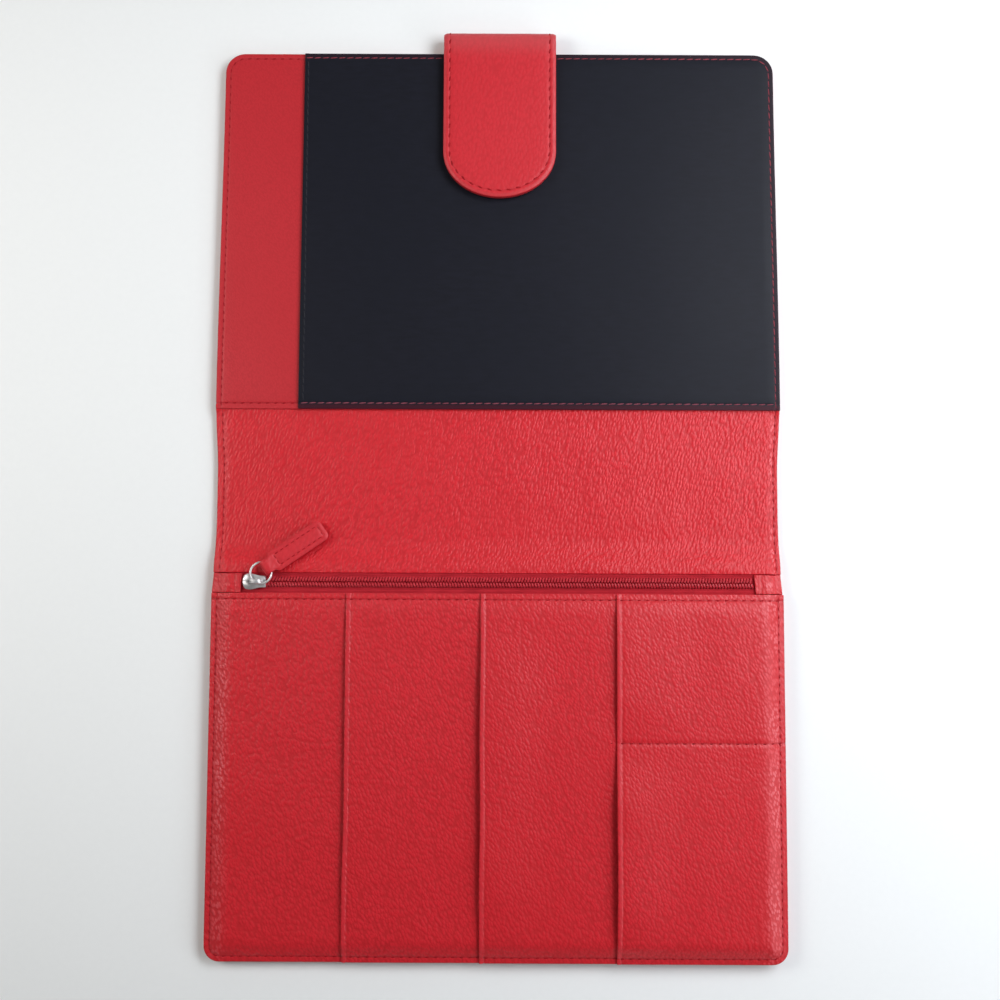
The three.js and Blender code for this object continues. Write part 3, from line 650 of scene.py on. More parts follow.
for name, nodes, ys, rim, crease in (
        ("liningFront", ("spine_lining_front", "spine_lining_middle"),
         gridLines(inner["zipFold"], lay["middle"], 1.4, (0, 0.5, 1, 1.6, 2.4), (0, 1, 2, 3)),
         0.3, frontCrease),
        ("liningBack", ("spine_lining_back",),
         gridLines(lay["middle"], inner["tuck"], 1.4, (0, 1, 2, 3), (0, 1)), 0.2, backCrease)):
    piece = sheetPiece(name, spineRed, acrossLines(3), ys, intoOutline, innerTop, innerUnder, rim, meeting,
                       innerPaintedLight, innerPaintedSheen)
    bendOver(standIn(piece, nodes), *crease)
print("spine lining made")

# pocket panel and slip pockets: heights are of the underside and the top
pockets = {"edgeStitch": 2.5, "seam": 2.4, "seamDip": 0.22, "squeeze": 9, "foldSqueeze": 8, "swell": 0.3,
           "lip": 1.7, "lipRise": 0.26, "lipDip": 0.16, "gapeReach": 30, "waver": 0.45, "waverReach": 15,
           "divider": -107.0, "dividerFrom": 47, "dividerShadeFrom": 48.5, "dividerDip": 0.3, "rim": 0.28,
           "sheenFrom": (-62, 20), "sheenFade": (-120, 45),
           "layers": {
               "pocketPanel": {"node": "pocket_panel", "mouth": None, "gape": 0,
                               "sewn": (3.5, 4.1), "folded": (5.3, 5.9)},
               "slipWide": {"node": "slip_pocket_wide", "mouth": -63.0, "gape": 0.55,
                            "sewn": (4.15, 4.7), "folded": (5.95, 6.45)},
               "slipMiddle": {"node": "slip_pocket_middle", "mouth": -6.8, "gape": 1.6,
                              "sewn": (4.75, 5.3), "folded": (6.5, 7.0)},
               "slipNarrow": {"node": "slip_pocket_narrow", "mouth": 49.7, "gape": 2.0,
                              "sewn": (5.35, 5.9), "folded": (7.05, 7.55)}}}
for layer in pockets["layers"].values():
    layer["flat"] = levels(layer["node"])
mouthSteps = (0, 0.3, 0.6, 0.95, 1.3, 1.65, 2, 2.35, 2.8, 3.5, 5, 8, 12)  # grid lines beside an open edge
foldSteps = (0, 0.5, 1, 1.5, 2, 2.3, 2.5, 2.7, 3, 3.6, 4.8, 6.5, 8.5)  # and beside a folded one
dividerSteps = (-2.4, -1.5, -0.9, -0.4, 0, 0.4, 0.9, 1.5, 2.4)


def mouthLine(layer, y):  # a mouth isn't quite straight
    return layer["mouth"] + pockets["waver"] * wave(layer["mouth"], y, 34, 9)


def gapeAt(layer, y):  # how far the mouth stands open, from 0 to 1
    low, high, share = lay["bottom"], lay["pocket"], 1.0
    if layer["node"] == "slip_pocket_narrow":  # the divider holds it down
        if y < pockets["divider"]:
            high = pockets["divider"]
        else:
            low, share = pockets["divider"], 0.45
    t = (y - low) / (high - low)
    return share * ease(t / 0.3) * ease((1 - t) / 0.3)


def pocketDip(x, y):  # the seams sink in
    depth = pockets["seamDip"] * ridge((edgeGap(x, y) - pockets["seam"]) / 0.7)
    depth = max(depth, pockets["seamDip"] * ridge((lay["pocket"] - y - pockets["edgeStitch"]) / 0.6))
    if x > pockets["dividerFrom"]:
        depth = max(depth, pockets["dividerDip"] * ridge((y - pockets["divider"]) / 1.5))
    return depth


def layerHeight(layer, upper, x, y):
    fromSide = ease(edgeGap(x, y) / pockets["squeeze"])
    fromFold = ease((lay["pocket"] - y) / pockets["foldSqueeze"])
    z = between(layer["folded"][upper], layer["flat"][upper], fromFold)
    z = between(layer["sewn"][upper], z, fromSide)
    z += pockets["swell"] * (wave(x, y * 0.7, 26, 1) + 0.5 * wave(x, y, 11, 2)) * fromSide * fromFold
    if layer["mouth"] is not None:
        past, lip = x - mouthLine(layer, y), pockets["lip"]
        z += layer["gape"] * gapeAt(layer, y) * (1 - ease(past / pockets["gapeReach"]))
        if upper:
            rise = pockets["lipRise"] * ridge((past - lip * 0.5) / lip)
            z += rise - pockets["lipDip"] * ridge((past - lip - 0.4) / 0.7)
    return z - (pocketDip(x, y) if upper else 0)


def pocketTop(x, y):  # top of whichever layer is uppermost there
    found = [layer for layer in pockets["layers"].values()
             if layer["mouth"] is None or x > mouthLine(layer, y) - 0.01]
    return layerHeight(found[-1], 1, x, y)


# painted light on a pocket layer: darker along the cut edge, painted shade in the seam grooves, at the top
# stitching and along the divider, painted highlights on the top fold and the mouth's lip, and painted shade
# in the dip behind the lip
def layerPaintedLight(layer):
    mouth = -lay["half"] if layer["mouth"] is None else layer["mouth"]
    over = [other for other in pockets["layers"].values() if (other["mouth"] or mouth) > mouth][:1]

    def wear_and_painted_light(x, y):
        gap, low, lip = edgeGap(x, y), lay["pocket"] - y, pockets["lip"]
        value = -0.5 * ridge(gap / 0.5) - 0.6 * ridge((gap - pockets["seam"]) / 0.55)
        value -= 0.6 * ridge((low - pockets["edgeStitch"]) / 0.5)
        value += 0.3 * ridge((low - 0.9) / 0.9)
        if x > pockets["dividerShadeFrom"]:
            value -= 0.5 * ridge((y - pockets["divider"]) / 0.7)
        if layer["mouth"] is not None:
            past = x - mouthLine(layer, y)
            value += 0.85 * ridge((past - lip * 0.55) / 0.9) - 0.35 * ridge((past - lip - 0.3) / 0.6)
        for above in over:  # painted shadow where the next mouth lies on it, darker where it stands open
            value -= 0.4 * (0.4 + 0.6 * gapeAt(above, y)) * ridge(min(0, x - mouthLine(above, y)) / 4)
        return value
    return wear_and_painted_light


def layerPaintedSheen(x, y):  # painted highlight on the pebbles where the edge rolls over
    gap = halfWidth(y) - abs(x)
    patch = ease(0.5 + 1.1 * wave(x, y, 12, 7))
    if x < 0:  # most of it half way down
        (start, reach), (fade, fadeReach) = pockets["sheenFrom"], pockets["sheenFade"]
        along = ease((start - y) / reach) * (1 - 0.45 * ease((fade - y) / fadeReach))
        return 0.33 * ridge((gap - 5.5) / 4.5) * (0.55 + 0.45 * patch) * along
    return 0.42 * ease((gap - 2.6) / 0.8) * (1 - ease((gap - 3) / 10)) * (0.35 + 0.65 * patch)


for name, layer in pockets["layers"].items():
    mouth = layer["mouth"]
    xs = acrossLines(3) if mouth is None else gridLines(mouth, lay["half"], 3, mouthSteps, closeSteps)
    extra = [pockets["divider"] + d for d in dividerSteps] if name == "slipNarrow" else ()
    ys = gridLines(lay["bottom"], lay["pocket"], 3, closeSteps, foldSteps, extra)

    def place(x, y):
        if mouth is not None:
            x += (mouthLine(layer, y) - mouth) * (1 - ease((x - mouth) / pockets["waverReach"]))
        return intoOutline(x, y)

    piece = sheetPiece(name, pebbled, xs, ys, place, lambda x, y: layerHeight(layer, 1, x, y),
                       lambda x, y: layerHeight(layer, 0, x, y), pockets["rim"], (),
                       layerPaintedLight(layer), layerPaintedSheen)
    standIn(piece, (layer["node"],), "front_panel")
print("pockets made")

# zip: bag, tapes, coils, end tabs
zipper = {"reach": 112, "ripple": 0.06, "pitch": 1.24, "left": -106.2, "right": 107.4, "wire": 0.5,
          "slant": 0.42, "bend": ((1.85, 5.2), (1.72, 5.75), (1.2, 6.15), (0.5, 6.1), (0.22, 5.7)),
          "tabEnds": (-107.4, 108.3), "tabReach": 119.9, "tabSides": (-45.5, -37.5), "tabLip": 1.9,
          "tabSewn": (3.5, 4.25), "tabFlat": (5.35, 6.15), "tabSqueeze": 7, "tabRim": 0.3,
          "tabSheen": -42}
bag = {"finish": bagCloth, "slot": "bag_cloth", "step": (6, 6), "held": "laid"}
tape = {"finish": tapeCloth, "slot": "tape_cloth", "level": levels("zip_tape_lower")}
cloths = {"zipBagBack": dict(bag, node="zip_bag_back", ends=(-189, -39.5), level=levels("zip_bag_back"),
                             on="front_board"),
          "zipBagFront": dict(bag, node="zip_bag_front", ends=(-189, -53.6), level=(4.15, 4.4),
                              on="zipBagBack"),
          "zipTapeUpper": dict(tape, node="zip_tape_upper", ends=(-40.97, -36.8), step=(2, 0.7), held=None),
          "zipTapeLower": dict(tape, node="zip_tape_lower", ends=(lay["pocket"] - 7.5, -41.03),
                               step=(2, 0.9), held="stretched", on="pocketPanel")}
for name, cloth in cloths.items():
    low, high = cloth["ends"]
    under, top = cloth["level"]
    piece = sheetPiece(name, cloth["finish"], gridLines(-zipper["reach"], zipper["reach"], cloth["step"][0]),
                       gridLines(low, high, cloth["step"][1]), plain,
                       lambda x, y: top + zipper["ripple"] * wave(x, y, 12, 6),
                       lambda x, y: under + zipper["ripple"] * wave(x, y, 12, 6), 0)
    standIn(piece, (cloth["node"],), "front_panel")
    if cloth["held"]:  # the width of a held cloth, worked out and not used; the upper tape, too narrow to count as a sheet, has none
        (high - low) / 1000

facing = {"ends": (-38.4, -37.6), "level": (2.95, 4.4), "rim": 0.12}
piece = sheetPiece("zipFacing", bagCloth, gridLines(-zipper["reach"], zipper["reach"], 6),
                   gridLines(*facing["ends"], 0.4), plain, lambda x, y: facing["level"][1],
                   lambda x, y: facing["level"][0], facing["rim"])
standIn(piece, ("zip_facing_strip",), "front_panel")

# a bent wire for each tooth: out from the tape, up, over and down at its head
for name, node, side, offset in (("coilUpper", "zip_coil_upper", 1, 0.25),
                                 ("coilLower", "zip_coil_lower", -1, 0.75)):
    bm = bmesh.new()
    for n in range(int((zipper["right"] - zipper["left"]) / zipper["pitch"])):
        x = zipper["left"] + (n + offset) * zipper["pitch"]
        tubeAlong(bm, [(x + zipper["slant"] * (1 - k / 2), lay["zip"] + side * y, z)
                       for k, (y, z) in enumerate(zipper["bend"])], zipper["wire"], 6)
    standIn(putInScene(bm, name, coilNylon), (node,), "front_panel")


def endTab(name, node, end):
    side = 1 if end > 0 else -1
    lip = zipper["tabLip"]

    def height(upper):
        def z(x, y):
            gap, past = edgeGap(x, y), side * (x - end)
            sewn, flat = zipper["tabSewn"][upper], zipper["tabFlat"][upper]
            raised = between(sewn, flat, ease(gap / zipper["tabSqueeze"]))
            if upper:
                raised += 0.18 * (1 - ease((past - lip + 0.4) / 0.6)) - 0.12 * ridge((past - lip - 0.5) / 0.6)
                raised += 0.12 * wave(x, y, 5, 8) - 0.15 * ridge((gap - 2.3) / 0.7)
            return raised
        return z

    # painted highlight on the inner lip, painted shade in the dip beside it, and darker along the cut edge
    def wear_and_painted_light(x, y):
        past = side * (x - end)
        return (0.6 * ridge((past - 0.9) / 1) - 0.4 * ridge((past - 2.4) / 0.6)
                - 0.5 * ridge(edgeGap(x, y) / 0.5))

    # painted highlight in the middle of the right tab
    def painted_sheen(x, y):
        return 0.4 * ridge((edgeGap(x, y) - 5.5) / 3.5) * ridge((y - zipper["tabSheen"]) / 3) if side > 0 else 0

    inside, outside = (0, 0.3, 0.7, 1.1, 1.5, 1.9, 2.3, 2.8, 3.4, 4.4), (0, 0.5, 1.2)
    reach = zipper["tabReach"]
    xs = gridLines(end, reach, 1, inside, outside) if side > 0 else gridLines(-reach, end, 1, outside, inside)
    ys = gridLines(*zipper["tabSides"], 0.9, (0, 0.5), (0, 0.5))
    piece = sheetPiece(name, pebbled, xs, ys, intoOutline, height(1), height(0), zipper["tabRim"], (),
                       wear_and_painted_light, painted_sheen)
    standIn(piece, (node,), "front_panel")


endTab("endTabLeft", "zip_end_tab_left", zipper["tabEnds"][0])
endTab("endTabRight", "zip_end_tab_right", zipper["tabEnds"][1])
print("zip made")

# slider: outline is (along, half width), bridge is (along, up), both from nose to tail
pull = {"x": -101.4,
        "outline": ((-4.7, 1.5), (-4.45, 2.2), (-3.9, 2.85), (-3.2, 3.2), (-2.2, 3.35), (-1.0, 3.25),
                    (0.2, 2.95), (1.2, 2.65), (2.2, 2.45), (3.2, 2.4), (4.1, 2.4), (4.5, 2.3), (4.7, 2.05)),
        "bridge": ((-2.6, 7.5), (-2.45, 8.7), (-2.0, 9.6), (-1.1, 10.05), (0.4, 10.1), (1.9, 10.05),
                   (2.8, 9.6), (3.3, 8.7), (3.45, 7.5)),
        "plate": (6.8, 7.9), "dome": (0.5, 0.35), "dish": 0.12, "skirt": 5.3, "skirtFrom": (-2.6, 2.16),
        "rim": 0.16, "lower": (3.45, 4.3), "lowerShare": (0.98, 0.6), "lowerRim": 0.15, "bridgeWidth": 1.7,
        "bridgeThick": 0.6, "bridgeMiddle": (0.42, 7.6), "bridgeRim": 0.14, "held": (-100.8, -41.2, 8.65),
        "ringYaw": 58, "loopYaw": 47, "tabYaw": 35.4, "pitch": 8.5, "ring": 4.4, "wire": 0.45, "slack": 0.8}
noseTail = [x for x, w in pull["outline"]]
halfShares = (0.15, 0.35, 0.55, 0.7, 0.8, 0.86, 0.93, 1)
shares = tuple(-share for share in reversed(halfShares)) + (0,) + halfShares


def sliderHalf(x):
    return alongStops(pull["outline"], x, lambda t: t)


def sliderPlace(x, share):
    return pull["x"] + x, lay["zip"] + share * sliderHalf(x)


def sliderTop(x, y):  # domed, with a shallow dish along the middle
    share, t = (y - lay["zip"]) / sliderHalf(x - pull["x"]), (x - pull["x"]) / noseTail[-1]
    across, along = pull["dome"]
    return (pull["plate"][1] - across * abs(share) ** 3 - along * abs(t) ** 4
            - pull["dish"] * ridge(share / 0.35))


def sliderUnder(x, y):
    along, out = pull["skirtFrom"]
    return pull["skirt"] if abs(y - lay["zip"]) > out and x - pull["x"] > along else pull["plate"][0]


def lowerPlace(x, share):
    return pull["x"] + x * pull["lowerShare"][0], lay["zip"] + share * sliderHalf(x) * pull["lowerShare"][1]


def sliderPaintedShade(x, y):  # painted shade in the dish under the arch and down the sides
    middle = ridge((x - pull["x"] + 1.9) / 2.6) * ridge((y - lay["zip"]) / 1.7)
    return -middle - 0.35 * ease((abs(y - lay["zip"]) - sliderHalf(x - pull["x"]) + 0.45) / 0.5)


bm = bmesh.new()
addSheet(bm, noseTail, shares, sliderPlace, sliderTop, sliderUnder, pull["rim"])
addSheet(bm, noseTail, shares[::2], lowerPlace, lambda x, y: pull["lower"][1], lambda x, y: pull["lower"][0],
         pull["lowerRim"])
# arch over the ring: a strip along the outer line, drawn in to its thickness
bays = len(pull["bridge"]) - 1
start = bmesh.ops.create_grid(bm, x_segments=bays, y_segments=2, size=1)["verts"]
for v in start:
    along, up = pull["bridge"][round((v.co.x + 1) / 2 * bays)]
    v.co = pull["x"] + along, lay["zip"] + v.co.y * pull["bridgeWidth"] / 2, up
drawn = onlyVerts(bmesh.ops.extrude_face_region(bm, geom=facesOf(start), use_keep_orig=True)["geom"])
for v in drawn:  # towards the middle of the hole
    middle = Vector((pull["x"] + pull["bridgeMiddle"][0], v.co.y, pull["bridgeMiddle"][1]))
    v.co += (middle - v.co).normalized() * pull["bridgeThick"]
soften(bm, start + drawn, pull["bridgeRim"])
standIn(putInScene(bm, "zipSlider", silver, sliderPaintedShade), ("zip_slider",), "slider")


def towards(angle):
    return Vector((math.cos(math.radians(angle)), math.sin(math.radians(angle)), 0))


ringMiddle = Vector(pull["held"]) + towards(pull["ringYaw"]) * pull["ring"]
tabStart = ringMiddle + towards(pull["loopYaw"]) * (pull["ring"] - pull["slack"])
bm = bmesh.new()
wire = bmesh.ops.create_circle(bm, segments=10, radius=pull["wire"])["verts"]
bmesh.ops.rotate(bm, verts=wire, matrix=Matrix.Rotation(math.pi / 2, 3, "X"))
bmesh.ops.translate(bm, verts=wire, vec=(pull["ring"], 0, 0))
bmesh.ops.spin(bm, geom=bm.edges[:], axis=(0, 0, 1), cent=(0, 0, 0), angle=2 * math.pi, steps=48,
               use_merge=True)
bmesh.ops.remove_doubles(bm, verts=bm.verts[:], dist=1e-4)
bmesh.ops.translate(bm, verts=bm.verts[:], vec=ringMiddle)
standIn(putInScene(bm, "pullRing", silver), ("pull_ring",), "ring")

# pull tab: u runs along it from the wire, v across
tab = {"length": 28.6, "half": 4.5, "neck": 3.1, "corner": 2.2, "flare": (2.2, 3.8), "thick": 1.1,
       "loop": 1.9, "loopBack": -2.15, "loopReach": 4.2, "seam": 2.0, "seamStart": 5.0, "seamTurn": 0.6,
       "rim": 0.3, "stitch": dict(stitch, pitch=2.6, length=1.7, width=0.55, lean=0)}
halfTabShares = (0.2, 0.4, 0.48, 0.54, 0.59, 0.64, 0.7, 0.78, 0.86, 0.93, 1)
tabShares = tuple(-share for share in reversed(halfTabShares)) + (0,) + halfTabShares


def tabHalf(u):
    start, end = tab["flare"]
    return between(tab["neck"], tab["half"], ease((u - start) / (end - start)))


def tabPlace(u, share):
    side, end, r = tab["half"] * (1 - abs(share)), tab["length"] - u, tab["corner"]
    v = share * tabHalf(u)
    if side < r and end < r:
        a, b = r - side, r - end
        scale = max(a, b) / max(math.hypot(a, b), 1e-9)
        v, u = math.copysign(tab["half"] - r + a * scale, share), tab["length"] - r + b * scale
    return u, v


def tabThick(u, v):  # half the thickness: the loop round the wire, then two layers sewn together
    if u < 0:
        loop = tab["loop"] * math.sqrt(max(0.02, 1 - (u / tab["loopBack"]) ** 2))
    else:
        loop = between(tab["loop"], tab["thick"], ease(u / tab["loopReach"]))
    gap = cornerGap(tabHalf(u) - abs(v), tab["length"] - u, tab["corner"])
    inside = min(gap, u - tab["seamStart"] + tab["seam"])
    groove = 0.3 * ridge((inside - tab["seam"]) / 0.6)
    return loop + 0.1 * ease((inside - tab["seam"]) / 0.8) - 0.45 * (1 - ease(gap / 1.1)) - groove


tabTurn = (Matrix.Translation(tabStart) @ Matrix.Rotation(math.radians(pull["tabYaw"]), 4, "Z")
           @ Matrix.Rotation(math.radians(pull["pitch"]), 4, "Y"))
us = gridLines(tab["loopBack"], tab["length"], 1, (0, 0.1, 0.3, 0.6, 1, 1.5),
               (0, 0.35, 0.7, 1.1, 1.4, 1.7, 2, 2.4, 3), (4.2, 4.6, 5))
bm = bmesh.new()
addSheet(bm, us, tabShares, tabPlace, tabThick, lambda u, v: -tabThick(u, v), tab["rim"])
bmesh.ops.transform(bm, verts=bm.verts[:], matrix=tabTurn)
standIn(putInScene(bm, "pullTab", flapRed), ("pull_tab",), "tab")

near, turn = tab["seamStart"], tab["seamTurn"]
out, far = tab["half"] - tab["seam"], tab["length"] - tab["seam"]
tabSeam = (line(near, -out, far - turn, -out) + line(far, -out + turn, far, out - turn, 20)
           + line(far - turn, out, near, out) + line(near, out, near, -out, 20))
bm = bmesh.new()
addStitches(bm, onTop(tabSeam, tabThick), tab["stitch"])
bmesh.ops.transform(bm, verts=bm.verts[:], matrix=tabTurn)
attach(putInScene(bm, "threadTab", redThread), "tab")
print("slider, ring and tab made")

# back panel: smooth lining and black pocket
back = {"lining": {"flat": levels("back_lining"), "sewn": (2.78, 3.45), "seam": 2.2, "dip": 0.18},
        "black": {"flat": (3.85, 4.55), "sewn": (3.62, 4.2), "seam": 1.95, "dip": 0.12},
        "mouth": -84.8, "squeeze": 6, "edgeStitch": 2.5, "hem": 2.0, "hemRise": 0.14, "swell": 0.18,
        "rims": (0.25, 0.18)}


def backHeight(name, upper):
    layer = back[name]

    def z(x, y):
        gap, low = edgeGap(x, y), y - lay["back"]
        free = ease(min(gap, low) / back["squeeze"])
        raised = between(layer["sewn"][upper], layer["flat"][upper], free)
        raised += back["swell"] * wave(x, y, 38, 12) * free
        if not upper:
            return raised
        if name == "black":
            past = x - back["mouth"]
            raised += (back["hemRise"] * (1 - ease((past - back["hem"]) / 0.5))
                       + back["swell"] * 0.6 * wave(x * 0.5, y, 24, 13) * free * ease(past / 10))
        seam = max(ridge((gap - layer["seam"]) / 0.6), ridge((low - back["edgeStitch"]) / 0.6))
        return raised - layer["dip"] * seam
    return z


# darker along the cut edge, painted shade in the seam grooves, and a painted highlight on the folded lower
# edge
def liningPaintedLight(x, y):
    gap, low = edgeGap(x, y), y - lay["back"]
    return (-0.5 * ridge(gap / 0.5) - 0.5 * ridge((gap - back["lining"]["seam"]) / 0.5)
            - 0.5 * ridge((low - back["edgeStitch"]) / 0.5) + 0.25 * ridge((low - 0.8) / 0.8))


def blackWear(x, y):  # the folded rim outside the seam shows a little of the red below
    low = y - lay["back"]
    return max(0.9 * ease((2.2 - low) / 0.5), 0.32 * ease((3 - edgeGap(x, y)) / 0.8))


liningTop, blackTop = backHeight("lining", 1), backHeight("black", 1)
backLines = gridLines(lay["back"], lay["top"], 4, foldSteps, closeSteps)
backLining = sheetPiece("backLining", smoothRed, acrossLines(4), backLines, intoOutline, liningTop,
                        backHeight("lining", 0), back["rims"][0], (), liningPaintedLight)
standIn(backLining, ("back_lining",), "back_panel")
blackPocket = sheetPiece("blackPocket", blackCloth,
                         gridLines(back["mouth"], lay["half"], 4, mouthSteps, closeSteps), backLines,
                         intoOutline, blackTop, backHeight("black", 0), back["rims"][1], (), blackWear)
standIn(blackPocket, ("black_pocket",), "back_panel")
print("back panel made")

# closing flap: one strap from its tongue, round the fold, to its rounded end; s runs along it
strap = {"x": hinges["flap_lift"][0], "half": (highest("flap_tongue", "x") - lowest("flap_tongue", "x")) / 2,
         "tongue": lowest("flap_tongue", "y"), "tip": lowest("flap_leather_tip", "y"), "bend": 193.1,
         "radius": 3.0, "level": 5.0, "round": 20.0, "out": 0.6, "puff": 0.12, "seam": 2.7, "seamDip": 0.2,
         "thin": 0.6, "foldThick": 1.3, "thick": 2.75, "rim": 0.4, "split": 187.6, "wrapReach": 6.5,
         "threadFrom": 16, "stitch": dict(stitch, pitch=4.1, length=2.3, width=0.8, lean=0.24)}
edgeSteps = (0, 0.45, 0.95, 1.5, 2.1, 2.45, 2.7, 2.95, 3.4, 4.4, 6, 8)
tongueLength = strap["bend"] - strap["tongue"]
foldLength = math.pi * strap["radius"]
strapLength = tongueLength + foldLength + strap["bend"] - strap["tip"]
foldMiddle = tongueLength + foldLength / 2
strapSplit = tongueLength + foldLength + strap["bend"] - strap["split"]
roundStart = strapLength - strap["round"]


def strapPoint(x, s, h):  # h is out from the middle of the leather
    radius, level = strap["radius"], strap["level"]
    if s < tongueLength:
        return x, strap["tongue"] + s, level - radius - h
    if s < tongueLength + foldLength:
        a = (s - tongueLength) / radius
        return x, strap["bend"] + (radius + h) * math.sin(a), level - (radius + h) * math.cos(a)
    return x, strap["bend"] - (s - tongueLength - foldLength), level + radius + h


def strapShares(x, s):  # 1 at the side and at the tip
    return (x - strap["x"]) / strap["half"], (s - strapLength + strap["round"]) / strap["round"]


def strapPlace(x, s):
    u, v = strapShares(x, s)
    if v > 0:
        share = max(abs(u), v) / max(math.hypot(u, v), 1e-9)
        u, v = u * share, v * share
        return strap["x"] + u * strap["half"], roundStart + v * strap["round"]
    return x, s


def strapGap(x, s):
    u, v = strapShares(x, s)
    if v > 0:
        far = max(math.hypot(u, v), 1e-9)
        size = math.hypot(u * strap["half"], v * strap["round"]) / far
        return (1 - far) * size
    return strap["half"] - abs(x - strap["x"])


def strapTop(x, s):
    gap = strapGap(x, s)
    puff = strap["puff"] * ease((gap - strap["seam"]) / 4) * ease((s - foldMiddle) / 12)
    return (strap["out"] + puff - 0.45 * (1 - ease(gap / 1.5))
            - strap["seamDip"] * ridge((gap - strap["seam"]) / 0.6) + 0.05 * wave(x, s, 13, 15))


def strapUnder(x, s):
    thin = between(strap["thin"], strap["foldThick"], ease((s - tongueLength + 3) / 4))
    deep = between(thin, strap["thick"], ease((s - foldMiddle - 3) / 8))
    return -deep + 0.3 * (1 - ease(strapGap(x, s) / 1.2))


# painted highlight over the fold and along the rolled edges, and painted shade in the seam groove
def strapPaintedLight(x, s):
    gap = strapGap(x, s)
    fold = ridge((s - foldMiddle - 1.5) / 15) if s > foldMiddle - 4 else 0
    return max(fold, 0.6 * ridge((gap - 0.7) / 1.1)) - 0.45 * ridge((gap - strap["seam"]) / 0.5)


# its thread runs up the left side, round the tip and down the right
half = strap["half"] - strap["seam"]
leftSide = [(strap["x"] - half, s) for s in gridLines(strap["threadFrom"], roundStart, 0.4)]
tipRound = [(strap["x"] - half * math.cos(a), roundStart + (strap["round"] - strap["seam"]) * math.sin(a))
            for a in (math.pi * k / 60 for k in range(1, 60))]
strapSeam = onTop(leftSide + tipRound + [(2 * strap["x"] - x, s) for x, s in reversed(leftSide)], strapTop)


def strapMark(y, z):
    return strap["x"] / 1000, y / 1000, z / 1000


strapAcross = gridLines(strap["x"] - strap["half"], strap["x"] + strap["half"], 3, edgeSteps, edgeSteps)
outerFold = strapMark(strap["bend"] + strap["radius"], strap["level"])
wrapY, wrapLevel = hinges["flap_wrap"][1:]
wrapStart, wrapEnd = (strapMark(wrapY + side * strap["wrapReach"], wrapLevel) for side in (1, -1))
for stretch, low, high, nearEnd, nodes, bodies, start, end in (
        ("Lower", 0, foldMiddle, (0,), ("flap_tongue", "flap_neck"), ("back_panel", "flap_fold"),
         strapMark(strap["bend"], strap["level"] - strap["radius"]), outerFold),
        ("Upper", foldMiddle, strapSplit, (0,),
         ("flap_leather_middle", "flap_filler_middle", "flap_lining_middle"), ("flap_fold", "flap_middle"),
         outerFold, strapMark(strap["bend"], strap["level"] + strap["radius"])),
        ("End", strapSplit, strapLength, edgeSteps,
         ("flap_leather_tip", "flap_filler_tip", "flap_lining_tip"), ("flap_middle", "flap_end"),
         wrapStart, wrapEnd)):
    joined = [s for s in (low, high) if 0 < s < strapLength - 1]
    ys = gridLines(low, high, 0.8 if high - low < 30 else 1.6, (0,), nearEnd)
    piece = sheetPiece("strap" + stretch, flapRed, strapAcross, ys, strapPlace, strapTop, strapUnder,
                       strap["rim"], joined, strapPaintedLight, None, strapPoint)
    standIn(piece, nodes)
    bm = bmesh.new()
    addStitches(bm, strapSeam, strap["stitch"], 0.02, lambda p: low <= p.y < high)
    thread = putInScene(bm, "threadStrap" + stretch, redThread, bend=strapPoint)
    for part in (piece, thread):
        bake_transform(part)
print("flap made")

# seams
seams = {"spine": (-36.6, 31.6), "fold": ((-119, -63.6), (-62.4, -7.4), (-6.2, 49.1), (50.3, 119.2)),
         "divider": (50.4, 119.3), "dividerEnd": (46.6, 49), "lining": -117.4, "black": 117.6, "hemEnds": 3.4,
         "outside": 0.3, "sunk": 0.02, "fromMouth": (0.6, 0.8)}


def outerSeam(points):
    return [(x, y, coverUnder(x, y) - seams["sunk"]) for x, y in points], seams["outside"]


def innerRun(points, top):
    return onTop(points, top), 0


def levelRun(ends, y, top, steps=120):
    return innerRun(line(ends[0], y, ends[1], y, steps), top)


def spineSide(side, y0, y1):
    return [(side * (halfWidth(y) - innerSeam(side)), y) for x, y in line(0, y0, 0, y1)]


frontRound = roundPath(pockets["seam"], lay["bottom"])
runs = [innerRun(frontRound, pocketTop)]
runs += [levelRun(ends, lay["pocket"] - pockets["edgeStitch"], pocketTop) for ends in seams["fold"]]
runs += [levelRun(seams["divider"], pockets["divider"], pocketTop),
         levelRun(seams["dividerEnd"], pockets["divider"], pocketTop, 4)]
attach(threadPiece("threadFront", redThread, runs), "front_panel")

for name, y0, y1, crease in (("threadSpineFront", seams["spine"][0], lay["middle"], frontCrease),
                             ("threadSpineBack", lay["middle"], seams["spine"][1], backCrease)):
    runs = []
    for side in (-1, 1):
        runs += [innerRun(spineSide(side, y0, y1), innerTop), outerSeam(spineSide(side, y0, y1))]
    bendOver(threadPiece(name, redThread, runs), *crease)

